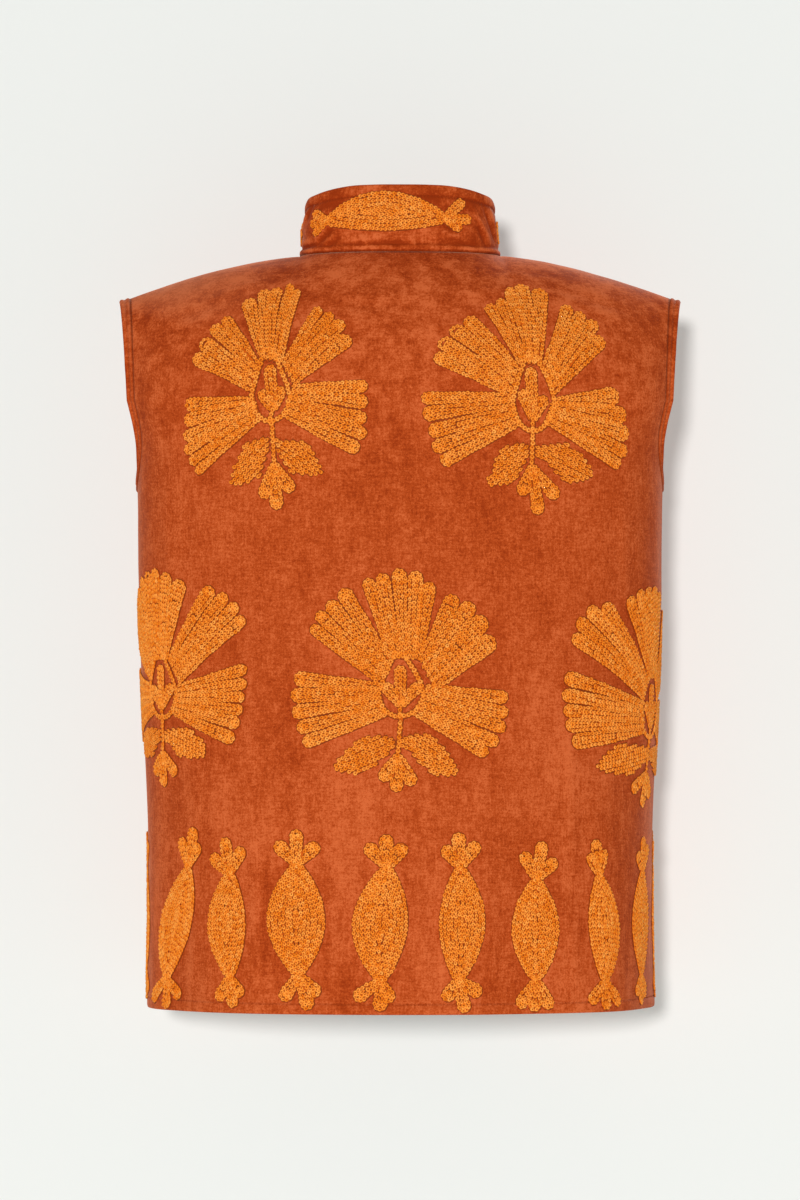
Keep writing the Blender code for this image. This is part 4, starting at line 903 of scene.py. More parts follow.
# a body from lines of points side by side round its section: a closed ring, or a strip with two ends
def sweptPiece(name, rings, closed, material, *values):
    count, steps = rings.shape[:2]
    number = np.arange(count * steps).reshape(count, steps)
    following = np.roll(number, -1, axis=1) if closed else number[:, 1:]
    here = number if closed else number[:, :-1]
    up, upNext = np.roll(here, -1, axis=0), np.roll(following, -1, axis=0)
    faces = np.stack([here, following, upNext, up], axis=-1).reshape(-1, 4).tolist()
    if not closed:
        for end in (0, -1):
            hub = number[:, end].tolist()
            for i in range((count - 1) // 2):
                corner = [hub[i], hub[i + 1], hub[-2 - i], hub[-1 - i]]
                faces.append(list(dict.fromkeys(corner)))
    values = [np.broadcast_to(v, (count, steps)).ravel() for v in values]
    return newPiece(name, rings.reshape(-1, 3), faces, [material], None, *values)


def collarLine(grids):
    neck = {key: points[: neckLast + 1, -1] for key, points in grids.items()}
    return np.concatenate([
        neck["front", -1], neck["back", -1][-2:0:-1], neck["back", 1], neck["front", 1][-2::-1]])


def refined(line, times):
    places = range(len(line))
    steps = np.linspace(0, len(line) - 1, times * (len(line) - 1) + 1)
    return np.array([[smoothValue(step, places, line[:, k]) for k in range(3)] for step in steps])


collarBase, collarOut = (refined(collarLine(grids), collar["finer"]) for grids in (cloth, clothNormals))
collarAway = awayFrom(collarBase, collarOut, False, collarBase * (-1, -1, 0) + (0, 0, 0.2))
collarStart = collarBase + collarAway * form["seamGap"]
collarPlan = collarBase * (1, 1, 0)
outside = awayFrom(collarPlan, (0, 0, 1.0), False, collarPlan)
collarTurn = np.abs(np.arctan2(collarBase[:, 0], collarBase[:, 1])) / math.pi
heightTable = np.array(collar["heights"])
collarHeight = np.array([smoothValue(turn, heightTable[:, 0], heightTable[:, 1]) for turn in collarTurn])
collarAlong = lengthsAlong(collarPlan)
collarAlong -= collarAlong[len(collarAlong) // 2]


# rings of points round the collar's section, with the painted light and shade of its creases and profile,
# and how high up each one is
def collarRings():
    upright = np.array((0, 0, 1.0))
    plain = np.zeros(len(collarStart))
    made, rises = [(collarStart, plain, plain)], {}
    mean, strength, patchy, place = collar["patches"]
    lump, close, closeUp = collar["lumps"]
    patches = np.array([
        mean + strength * noise.noise(Vector((p[0] * patchy, p[1] * patchy, place))) for p in collarBase])
    for share in collar["levels"]:
        height = collarHeight * share
        fine = creaseRise(collarAlong, height, collar["creases"])
        fine += lump * np.array([
            noise.noise(Vector((p[0] * close, p[1] * close, share * closeUp))) for p in collarBase])
        fine *= min(1.0, share / collar["flatFoot"])
        rises[share] = fine
        puff = np.interp(share, *zip(*collar["profile"])) + fine - collar["lean"] * share
        ring = collarStart + np.outer(height, upright) + outside * puff[:, None]
        # painted light and shade from the creases and the profile
        made.append((ring, fine + np.interp(share, *zip(*collar["wear"])) * patches, height))
    top = collarStart + np.outer(collarHeight, upright)
    for depth, drop in collar["topEdge"]:
        made.append((top - upright * drop - outside * (collar["lean"] + depth), plain, collarHeight))
    for share in collar["levels"][::-1]:
        height = collarHeight * share
        puff = collar["thickness"] + collar["lean"] * share - rises[share] * collar["insideShare"]
        puff = puff + np.interp(share, *zip(*collar["insideProfile"]))
        ring = collarStart + np.outer(height, upright) - outside * puff[:, None]
        made.append((ring, -rises[share] * collar["insideShare"], height))
    made.append((collarStart - collarOut * rim["thickness"], plain, plain))
    return (np.stack(values) for values in zip(*made))


collarPoints, collarShading, collarHeights = collarRings()
ends = np.minimum(collarAlong - collarAlong[0], collarAlong[-1] - collarAlong)
seam = np.minimum(
    collarHeights + collar["seamAtBase"], np.broadcast_to(ends, collarHeights.shape) + collar["seamAtEnds"])
# the stitched line keeps to one share of the height, so the collar's map is in shares
collarShares = collarHeights / collarHeight * collar["backHeight"]
collarVelvet = velvetMaterial(
    "velvetCollar", [collar["stitchShare"] * collar["backHeight"]], collar["shade"], collar["creaseShading"])
collarPiece = sweptPiece(
    "standCollar", collarPoints, False, collarVelvet, collarAlong, collarShares, collarShading, seam)
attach(collarPiece, "root")
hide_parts("collar")
declareSheet(collarPiece, "hung", ["panel_back"], *collar["cut"])
print("collar set in")


band = {
    "width": 0.0088,
    "flare": 0.6,
    "flareHeights": (-0.182, -0.142),  # the flare grows between these, from this little to all of it
    "flareShares": (0.05, 1.0),
    "inwards": 0.3,  # how far inside the body the armhole's own middle is taken to be
    "thickness": 0.0022,
    "edge": 0.0004,
    # share of the width, and how far the outside stands out
    "profile": (
        (0.05, 0.0005), (0.13, 0.0009), (0.24, 0.001), (0.36, 0.0006), (0.46, 0.0001), (0.54, 0.0001),
        (0.64, 0.0006), (0.76, 0.0009), (0.87, 0.0008), (0.95, 0.0003), (1.0, -0.0004),
    ),
    "insideShare": 0.4,
    "wobble": (0.0003, 70),  # its height, and how close its waves are
    "line": 0.0044,
    "shade": -0.30,
    "seam": 0.0002,
    "cut": (0.62, 0.010),
}
bandVelvet = velvetMaterial("velvetBands", [band["line"]], band["shade"])
bandShares = [share for share, _ in band["profile"]]
for side, word in ((1, "left"), (-1, "right")):
    points, outward = (
        np.concatenate([
            grids["back", side][-1, underarmRow:], grids["front", side][-1, underarmRow:][-2:0:-1]])
        for grids in (cloth, clothNormals)
    )
    away = awayFrom(points, outward, True, (points.mean(axis=0) - points) + (band["inwards"] * side, 0, 0))
    flare = np.interp(points[:, 2], band["flareHeights"], band["flareShares"]) * band["flare"] * side
    lean = unitRows(away + np.outer(flare, (1, 0, 0)))
    face = unitRows(outward - lean * (outward * lean).sum(axis=1)[:, None])
    start = points + away * form["seamGap"]
    height, close = band["wobble"]
    wobble = np.array([noise.noise(Vector((p[1] * close, p[2] * close, side))) for p in points])
    rings = [start]
    rings += [start + lean * band["width"] * share + face * (puff + height * wobble * share)[:, None]
              for share, puff in band["profile"]]
    rings.append(start + lean * (band["width"] + band["edge"]) - face * (band["thickness"] / 2))
    rings += [start + lean * band["width"] * share - face * (band["thickness"] + puff * band["insideShare"])
              for share, puff in band["profile"][::-1]]
    rings.append(start - outward * band["thickness"])
    across = np.array([0, *bandShares, 1, *bandShares[::-1], 0])[:, None] * band["width"]
    piece = sweptPiece(
        f"armholeBand{word.capitalize()}", np.stack(rings), True, bandVelvet,
        lengthsAlong(points), across, wobble * height, across + band["seam"])
    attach(piece, "root")
    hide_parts(f"armhole_band_{word}")
    declareSheet(piece, "hung", ["panel_back"], *band["cut"])
print("armhole bands sewn on")


stitch = {
    "pitch": 0.0036,
    "row": 0.0030,
    "overlap": 1.40,  # each loop's length in pitches
    "width": 1.22,  # each loop's width in rows
    "height": 0.0018,
    "sink": 0.00020,
    "shade": 0.00050,  # how far the strip of pressed, dark pile and painted contact shadow reaches beyond a row
    # the dark strip is shifted down and to the right, as a painted cast shadow
    "shadeShift": 0.00015,
    "shadeLift": 0.00012,
    "ground": -0.00030,  # the yarn between the loops, painted in its shade colour, stops this far inside a row's edge
    "groundLift": 0.00030,
    "stripStep": 0.003,
    "tooClose": 0.50,  # stitches of other rows nearer than this many rows are left out
    "shortest": 0.0008,
    "wander": 0.00026,
    "thickness": (0.92, 1.12),
    "partTone": 0.05,  # how much the tone varies from part to part, and from loop to loop
    "loopTone": 0.13,
    "firstSeed": 100,
    "loop": {"major_segments": 9, "minor_segments": 4, "major_radius": 0.295, "minor_radius": 0.215},
    "narrowFrom": -0.12,  # the end of the loop behind this is made narrower, and moved
    "narrowSize": (1.0, 0.50, 0.80),
    "narrowMove": (-0.07, 0, -0.12),
    "inside": (0.9, 0.2, 0.85),  # the hole: how much it is shortened, its radius, how dark its painted shade is
    "lowDepth": (1.42, 1.65),  # how dark the painted shade at the foot is, and how fast that fades upwards
}


# one loop of chain stitch, 1 long, 1 wide and 1 high, with its narrow end at -X tucked under the one before
def modelStitch():
    bpy.ops.object.select_all(action="DESELECT")
    bpy.ops.mesh.primitive_torus_add(location=(0, 0, 0), **stitch["loop"])
    loop = bpy.context.active_object
    loop.name = "chainStitch"
    bpy.ops.object.mode_set(mode="EDIT")
    bpy.ops.mesh.select_all(action="DESELECT")
    bpy.ops.object.mode_set(mode="OBJECT")
    for vertex in loop.data.vertices:
        vertex.select = vertex.co.x < stitch["narrowFrom"]
    bpy.ops.object.mode_set(mode="EDIT")
    bpy.ops.transform.resize(value=stitch["narrowSize"])
    bpy.ops.transform.translate(value=stitch["narrowMove"])
    bpy.ops.object.mode_set(mode="OBJECT")
    points = np.array([vertex.co for vertex in loop.data.vertices])
    faces = np.array([list(polygon.vertices) for polygon in loop.data.polygons])
    low, high = points.min(axis=0), points.max(axis=0)
    points = (points - (low + high) / 2) / (high - low)
    points[:, 2] += 0.5
    bpy.data.objects.remove(loop)
    return points, faces


stitchPoints, stitchFaces = modelStitch()
shorter, radius, holeShade = stitch["inside"]
footShade, fade = stitch["lowDepth"]
# painted shade inside each hole and towards each loop's foot
stitchInside = np.hypot(stitchPoints[:, 0] * shorter, stitchPoints[:, 1]) < radius
stitchShade = np.where(stitchInside, holeShade, np.clip(footShade - stitchPoints[:, 2] * fade, 0, 1))
print("one stitch is", len(stitchPoints), "points and", len(stitchFaces), "faces")


# the back, the ring below the armholes and the collar, as maps that the motifs are laid on
def layMap(points, normals, along, heights):
    return {"points": points, "normals": normals, "along": along, "heights": np.asarray(heights)}


def wholeBack(grids):
    return np.concatenate([grids["back", -1][:0:-1], grids["back", 1]])


def wholeRing(grids):
    right, left = (
        np.concatenate([grids["back", side][:, lowRows], grids["front", side][-2::-1, lowRows]])
        for side in (-1, 1)
    )
    return np.concatenate([right[:0:-1], left])


levels = np.array(collar["levels"])
maps = {
    "back": layMap(*(wholeBack(grids) for grids in (cloth, clothNormals, around)), upCloth["back"]),
    "ring": layMap(*(wholeRing(grids) for grids in (cloth, clothNormals, around)), bodyHeights),
    "collar": layMap(
        collarPoints[1 : len(levels) + 1].transpose(1, 0, 2),
        np.repeat(outside[:, None], len(levels), axis=1),
        np.repeat(collarAlong[:, None], len(levels), axis=1),
        levels * collar["backHeight"],
    ),
}


def onCloth(surface, along, height):
    heights = surface["heights"]
    row = float(np.interp(height, heights, range(len(heights))))
    low = min(int(row), len(heights) - 2)
    line = surface["along"][:, low] * (1 - row + low) + surface["along"][:, low + 1] * (row - low)
    column = float(np.interp(along, line, range(len(line))))
    i = min(int(column), len(line) - 2)
    u, v = column - i, row - low
    weights = (
        (i, low, (1 - u) * (1 - v)),
        (i + 1, low, u * (1 - v)),
        (i, low + 1, (1 - u) * v),
        (i + 1, low + 1, u * v),
    )
    point, normal = (
        sum(surface[kind][a, b] * share for a, b, share in weights) for kind in ("points", "normals"))
    return point, normal / np.linalg.norm(normal)


finger = {
    "step": 0.0008,
    "fewest": 6,
    "opening": 0.18,  # the share of a finger over which the groove beside it opens
    # these are in rows: the widest tip that one row fills, and how far that row runs past the tip, in tips
    "oneRow": 0.8,
    "pastTip": 0.5,
    "whole": 1.2,  # the half width from which the outer row is a whole row wide
    "paired": 0.72,  # the half width from which there is an outer row on each side
    "between": 0.38,  # the least room that another row is laid in
    "arcSteps": 16,
    "intoTip": 0.8,
    "plug": (0.8, 0.25, 0.7),  # how far in and how far out it reaches, and its least width
}


# rows of stitches that fill a finger with a round tip, outermost first; each row is a line of points and
# its widths; from the share called parting to the tip, a groove opens beside the finger
def fingerRows(base, tip, baseWidth, tipWidth, parting=1.0, groove=0.0):
    base, tip, row = np.array(base, float), np.array(tip, float), stitch["row"]
    length = np.linalg.norm(tip - base)
    forward = (tip - base) / length
    aside = np.array((forward[1], -forward[0]))
    share = np.linspace(0, 1, max(finger["fewest"], int(length / finger["step"])))
    width = baseWidth + (tipWidth - baseWidth) * share
    width -= groove * np.clip((share - parting) / finger["opening"], 0, 1)
    tipWidth = width[-1]
    spine = base + np.outer(share * length, forward)
    if tipWidth < finger["oneRow"] * row:
        past = (tip + forward * tipWidth * finger["pastTip"])[None]
        return [(np.concatenate([spine, past]), np.append(width, tipWidth) * 2)]
    outer = np.where(width > finger["whole"] * row, row, width)
    paired = width > finger["paired"] * row
    offset = np.where(paired, width - outer / 2, 0.0)
    outerWidth = np.where(paired, outer, 2 * width)
    tipRow = min(row, tipWidth)
    reach = tipWidth - tipRow / 2
    angle = np.linspace(0, math.pi, finger["arcSteps"])
    arc = tip - np.outer(np.cos(angle) * reach, aside) + np.outer(np.sin(angle) * reach, forward)
    left = spine - np.outer(offset, aside)
    right = (spine[paired] + np.outer(offset[paired], aside))[::-1]
    rows = [(np.concatenate([left, arc, right]),
             np.concatenate([outerWidth, np.full(len(arc), tipRow), outerWidth[paired][::-1]]))]
    room = 2 * (width - outer)  # what is left between the two outer rows
    count = np.where(room > finger["between"] * row, np.maximum(1, np.round(room / row)), 0)
    for number in range(1, int(count.max()) + 1):
        here = count == number
        if here.sum() < 3:
            continue
        for j in range(number):
            aim = -room[here] / 2 + (j + 0.5) * room[here] / number
            line = spine[here] + np.outer(aim, aside)
            wide = np.maximum(room[here] / number, finger["paired"] * row)
            if here[-1]:
                line = np.concatenate([line, line[-1:] + forward * (tipWidth - row) * finger["intoTip"]])
                wide = np.append(wide, wide[-1])
            rows.append((line, wide))
    back, ahead, least = finger["plug"]  # closes the hole inside the tip
    plug = np.stack([tip - forward * row * back, tip + forward * row * ahead])
    rows.append((plug, np.full(2, max(room[-1], least * row))))
    return rows


# a petal: a finger to each of its tips, from its share of the base
def petalRows(start, end, tips, rng):
    start, end, tips = np.array(start), np.array(end), np.array(tips)
    gaps = np.linalg.norm(np.diff(tips, axis=0), axis=1)
    widths = np.concatenate([gaps[:1], (gaps[1:] + gaps[:-1]) / 2, gaps[-1:]]) / 2
    baseWidth = max(np.linalg.norm(end - start) / (2 * len(tips)), flower["baseWidth"])
    rows = []
    for i, (tip, width) in enumerate(zip(tips, widths)):
        base = start + (end - start) * (i + 0.5) / len(tips)
        forward = towards(base, tip)
        base = base - forward * flower["baseReach"]
        centre = tip - forward * (width - flower["groove"])
        parting = rng.uniform(*flower["parting"])
        rows.append(fingerRows(base, centre, baseWidth, width, parting, flower["groove"]))
    return rows


# a leaf: rows along its axis, cut off at its outline
def leafRows(outline):
    outline = np.array(outline)
    start = (outline[0] + outline[-1]) / 2
    forward = towards(start, outline[np.argmax(np.hypot(*(outline - start).T))])
    aside = np.array((forward[1], -forward[0]))
    along, across = (outline - start) @ forward, (outline - start) @ aside
    low, high = across.min(), across.max()
    count = round((high - low) / stitch["row"])
    spacing, steps = (high - low) / count, flower["leafSteps"]
    rows = []
    for j in sorted(range(count), key=lambda j: (j % 2, j)):
        offset = low + (j + 0.5) * spacing
        crossings = []
        for k in range(len(outline)):
            a, b = across[k - 1], across[k]
            if (a > offset) != (b > offset):
                crossings.append(along[k - 1] + (offset - a) / (b - a) * (along[k] - along[k - 1]))
        if len(crossings) > 1:
            inset = spacing * flower["leafInset"]
            first, last = min(crossings) + inset, max(crossings) - inset
            if last - first > stitch["pitch"]:
                reach = np.linspace(first, last, steps)
                rows.append((start + np.outer(reach, forward) + offset * aside, np.full(steps, spacing)))
    return rows


flower = {
    # seen from outside and measured from the heart; petals: base start, base end, and the tips of the
    # lobes, clockwise; leaves: outlines; bud: its foot and three tips; stalk: its ends; hanging: three tips;
    # ring: its point, its foot, half width and middle
    "forms": {
        "middle": {
            "petals": (
                ((-0.01, 0.031), (0.019, 0.03), ((-0.026, 0.093), (-0.014, 0.097), (0.0, 0.101),
                 (0.014, 0.099), (0.025, 0.09))),
                ((0.018, 0.031), (0.033, 0.003), ((0.046, 0.079), (0.06, 0.073), (0.071, 0.061),
                 (0.078, 0.044))),
                ((0.027, 0.006), (0.014, -0.02), ((0.09, -0.005), (0.09, -0.018), (0.088, -0.03),
                 (0.082, -0.042), (0.073, -0.051))),
                ((-0.013, -0.021), (-0.02, 0.008), ((-0.079, -0.042), (-0.084, -0.03), (-0.088, -0.017),
                 (-0.089, -0.003), (-0.086, 0.011))),
                ((-0.02, 0.009), (-0.008, 0.029), ((-0.072, 0.054), (-0.067, 0.065), (-0.058, 0.074),
                 (-0.047, 0.084))),
            ),
            "leaves": (
                ((-0.002, -0.038), (-0.012, -0.035), (-0.024, -0.036), (-0.033, -0.039), (-0.041, -0.046),
                 (-0.047, -0.052), (-0.054, -0.059), (-0.052, -0.065), (-0.044, -0.065), (-0.036, -0.067),
                 (-0.028, -0.064), (-0.02, -0.06), (-0.012, -0.053), (-0.002, -0.045)),
                ((0.0, -0.038), (0.01, -0.034), (0.02, -0.034), (0.029, -0.037), (0.037, -0.045),
                 (0.043, -0.053), (0.049, -0.064), (0.046, -0.069), (0.038, -0.068), (0.03, -0.068),
                 (0.023, -0.063), (0.016, -0.058), (0.01, -0.05), (0.0, -0.044)),
            ),
            "bud": ((0.002, -0.01), (0.001, 0.022), (-0.0135, 0.007), (0.0175, 0.007)),
            "stalk": ((0.002, -0.019), (-0.001, -0.052)),
            "hanging": ((-0.0145, -0.0725), (-0.0022, -0.0815), (0.0122, -0.076)),
            "ring": ((-0.001, 0.032), (0.0, -0.02), 0.0185, 0.0018),
        },
        "left": {
            "petals": (
                ((-0.018, 0.003), (-0.013, 0.027), ((-0.069, 0.034), (-0.063, 0.047), (-0.054, 0.06),
                 (-0.045, 0.067))),
                ((-0.012, 0.032), (0.009, 0.028), ((-0.027, 0.083), (-0.015, 0.091), (-0.005, 0.092),
                 (0.008, 0.098), (0.017, 0.096))),
                ((0.01, 0.028), (0.021, 0.01), ((0.039, 0.081), (0.049, 0.077), (0.058, 0.07),
                 (0.064, 0.055))),
                ((0.021, 0.009), (0.012, -0.018), ((0.079, 0.009), (0.079, -0.005), (0.078, -0.019),
                 (0.078, -0.031), (0.072, -0.043))),
                ((-0.012, -0.021), (-0.018, -0.001), ((-0.067, -0.061), (-0.073, -0.053), (-0.078, -0.044),
                 (-0.078, -0.033), (-0.077, -0.02), (-0.075, -0.007))),
            ),
            "leaves": (
                ((-0.002, -0.031), (-0.012, -0.034), (-0.022, -0.037), (-0.025, -0.042), (-0.029, -0.05),
                 (-0.033, -0.058), (-0.036, -0.069), (-0.031, -0.071), (-0.024, -0.07), (-0.016, -0.066),
                 (-0.009, -0.063), (-0.006, -0.052), (-0.002, -0.042)),
                ((0.001, -0.031), (0.009, -0.035), (0.018, -0.035), (0.026, -0.036), (0.033, -0.042),
                 (0.037, -0.049), (0.04, -0.055), (0.043, -0.061), (0.034, -0.063), (0.024, -0.062),
                 (0.016, -0.061), (0.01, -0.054), (0.004, -0.043)),
            ),
            "bud": ((0.001, -0.01), (-0.0022, 0.0235), (-0.01, 0.004), (0.009, 0.007)),
            "stalk": ((0.0, -0.02), (0.002, -0.054)),
            "hanging": ((-0.008, -0.081), (0.004, -0.09), (0.017, -0.076)),
            "ring": ((-0.007, 0.035), (-0.002, -0.02), 0.016, -0.001),
        },
        "right": {
            "petals": (
                ((-0.021, 0.002), (-0.013, 0.027), ((-0.081, 0.041), (-0.077, 0.055), (-0.067, 0.067),
                 (-0.055, 0.075))),
                ((-0.013, 0.03), (0.008, 0.03), ((-0.036, 0.086), (-0.025, 0.089), (-0.014, 0.097),
                 (-0.001, 0.098), (0.014, 0.095))),
                ((0.01, 0.028), (0.02, 0.005), ((0.036, 0.08), (0.047, 0.075), (0.057, 0.068),
                 (0.062, 0.053))),
                ((0.02, 0.001), (0.012, -0.02), ((0.075, 0.003), (0.083, -0.013), (0.087, -0.028),
                 (0.086, -0.042), (0.079, -0.052))),
                ((-0.013, -0.022), (-0.021, 0.005), ((-0.076, -0.05), (-0.083, -0.039), (-0.086, -0.026),
                 (-0.091, -0.012), (-0.092, 0.001))),
            ),
            "leaves": (
                ((-0.003, -0.035), (-0.01, -0.034), (-0.023, -0.037), (-0.027, -0.041), (-0.032, -0.047),
                 (-0.034, -0.057), (-0.039, -0.064), (-0.035, -0.069), (-0.026, -0.067), (-0.015, -0.067),
                 (-0.009, -0.055), (-0.003, -0.044)),
                ((0.001, -0.037), (0.008, -0.036), (0.016, -0.035), (0.029, -0.034), (0.033, -0.038),
                 (0.041, -0.042), (0.048, -0.05), (0.052, -0.057), (0.052, -0.061), (0.044, -0.064),
                 (0.031, -0.066), (0.021, -0.06), (0.012, -0.05), (0.001, -0.044)),
            ),
            "bud": ((0.0, -0.015), (-0.0016, 0.0246), (-0.0098, 0.0078), (0.0104, 0.003)),
            "stalk": ((0.0, -0.022), (-0.001, -0.053)),
            "hanging": ((-0.01, -0.076), (0.005, -0.091), (0.021, -0.078)),
            "ring": ((-0.0025, 0.0355), (0.0, -0.025), 0.0172, 0.0005),
        },
        "sideLeft": {
            "petals": (
                ((-0.012, 0.028), (0.013, 0.029), ((-0.031, 0.093), (-0.016, 0.098), (-0.002, 0.1),
                 (0.014, 0.097), (0.03, 0.091))),
                ((0.014, 0.028), (0.029, 0.007), ((0.061, 0.085), (0.074, 0.079), (0.084, 0.071),
                 (0.09, 0.06))),
                ((0.024, 0.004), (0.017, -0.02), ((0.092, 0.018), (0.092, 0.006), (0.09, -0.005),
                 (0.088, -0.016), (0.085, -0.027), (0.08, -0.04))),
                ((-0.014, -0.02), (-0.021, 0.006), ((-0.08, -0.04), (-0.085, -0.028), (-0.088, -0.015),
                 (-0.089, -0.002), (-0.087, 0.012))),
                ((-0.02, 0.009), (-0.011, 0.027), ((-0.072, 0.056), (-0.067, 0.066), (-0.058, 0.075),
                 (-0.047, 0.084))),
            ),
            "leaves": (
                ((-0.002, -0.033), (-0.016, -0.031), (-0.032, -0.032), (-0.042, -0.037), (-0.05, -0.043),
                 (-0.05, -0.054), (-0.04, -0.056), (-0.029, -0.055), (-0.018, -0.054), (-0.009, -0.045),
                 (-0.002, -0.04)),
                ((0.001, -0.033), (0.018, -0.031), (0.033, -0.031), (0.044, -0.037), (0.052, -0.043),
                 (0.052, -0.054), (0.041, -0.056), (0.03, -0.055), (0.019, -0.054), (0.01, -0.045),
                 (0.001, -0.04)),
            ),
            "bud": ((0.0, -0.014), (0.0014, 0.0215), (-0.014, 0.004), (0.017, 0.005)),
            "stalk": ((0.001, -0.02), (-0.001, -0.052)),
            "hanging": ((-0.017, -0.07), (-0.0025, -0.08), (0.017, -0.0696)),
            "ring": ((-0.001, 0.0315), (0.001, -0.023), 0.02, 0.001),
        },
        "sideRight": {
            "petals": (
                ((-0.021, 0.008), (-0.012, 0.026), ((-0.099, 0.06), (-0.095, 0.073), (-0.085, 0.083),
                 (-0.07, 0.086))),
                ((-0.011, 0.028), (0.011, 0.028), ((-0.042, 0.092), (-0.028, 0.098), (-0.014, 0.1),
                 (0.0, 0.101), (0.014, 0.096))),
                ((0.012, 0.028), (0.022, 0.008), ((0.047, 0.08), (0.059, 0.074), (0.069, 0.063),
                 (0.074, 0.05))),
                ((0.021, 0.004), (0.015, -0.02), ((0.088, 0.002), (0.09, -0.012), (0.088, -0.026),
                 (0.082, -0.04))),
                ((-0.016, -0.021), (-0.019, 0.006), ((-0.099, -0.027), (-0.105, -0.013), (-0.107, -0.001),
                 (-0.108, 0.012), (-0.106, 0.026))),
            ),
            "leaves": (
                ((-0.002, -0.033), (-0.014, -0.031), (-0.029, -0.03), (-0.045, -0.029), (-0.059, -0.033),
                 (-0.068, -0.039), (-0.076, -0.048), (-0.065, -0.052), (-0.049, -0.054), (-0.03, -0.054),
                 (-0.016, -0.048), (-0.002, -0.041)),
                ((0.0, -0.034), (0.014, -0.032), (0.029, -0.032), (0.042, -0.036), (0.052, -0.043),
                 (0.056, -0.052), (0.046, -0.056), (0.031, -0.056), (0.018, -0.052), (0.008, -0.045),
                 (0.0, -0.041)),
            ),
            "bud": ((0.0, -0.015), (0.0, 0.0205), (-0.0115, 0.0055), (0.0115, 0.0055)),
            "stalk": ((0.0, -0.022), (-0.004, -0.054)),
            "hanging": ((-0.03, -0.068), (-0.009, -0.082), (0.009, -0.075)),
            "ring": ((0.0, 0.033), (0.0, -0.0245), 0.0198, 0.0),
        },
    },
    "baseReach": 0.0035,  # how far the petals run in under the ring
    "baseWidth": 0.0016,  # the least half width of a finger at its base
    "groove": 0.00070,
    "parting": (0.12, 0.75),  # how far up a petal the grooves between its fingers open
    "leafInset": 0.3,  # how far inside the outline its rows end, in rows
    "leafSteps": 12,
    "budWidths": (0.0040, 0.0052),
    "hangingWidths": (0.0034, 0.0058),
    "stalkWidth": 0.0018,
    "ringWidth": 0.0040,
    "ringShoulder": 0.50,  # how much narrower the upper half of the ring is than an ellipse
    "ringSteps": 48,
    "seed": 3,
    # form, surface, along, height, and scales right, left, up and down where they aren't 1
    "places": {
        "flower_back_middle": ("middle", "ring", 0.001, -0.360),
        "flower_side_left": ("sideLeft", "ring", 0.2184, -0.359),
        "flower_side_right": ("sideRight", "ring", -0.2425, -0.374),
        "flower_back_left": ("left", "back", 0.105, -0.118, (1, 1, 1.04, 1.04)),
        "flower_back_right": ("right", "back", -0.109, -0.121, (1, 1, 1.04, 1.04)),
    },
}


# a single lobe that ends at its tip
def lobeRows(start, tip, startWidth, endWidth):
    start, tip = np.array(start), np.array(tip)
    return fingerRows(start, tip - towards(start, tip) * endWidth, startWidth, endWidth)


def flowerRows(drawing):
    rng = random.Random(flower["seed"])
    point, foot, halfWidth, middle = drawing["ring"]
    angle = np.linspace(0, 2 * math.pi, flower["ringSteps"])
    across, up = np.sin(angle), np.cos(angle)
    end = np.where(up > 0, point[0], foot[0])
    x = end * (1 - abs(across)) + middle * abs(across)
    x += halfWidth * across * (1 - flower["ringShoulder"] * np.maximum(up, 0))
    y = abs(up) * np.where(up > 0, point[1], foot[1])
    parts = [[(np.stack([x, y], axis=1), np.full(len(x), flower["ringWidth"]))]]
    parts += [fingerPart for petal in drawing["petals"] for fingerPart in petalRows(*petal, rng)]
    parts += [leafRows(outline) for outline in drawing["leaves"]]
    (budFoot, *tips), stalk = drawing["bud"], drawing["stalk"]
    parts += [lobeRows(budFoot, tip, *flower["budWidths"]) for tip in tips]
    parts += [fingerRows(*ends, *[flower["stalkWidth"]] * 2) for ends in ((foot, budFoot), stalk)]
    return parts + [lobeRows(stalk[1], tip, *flower["hangingWidths"]) for tip in drawing["hanging"]]


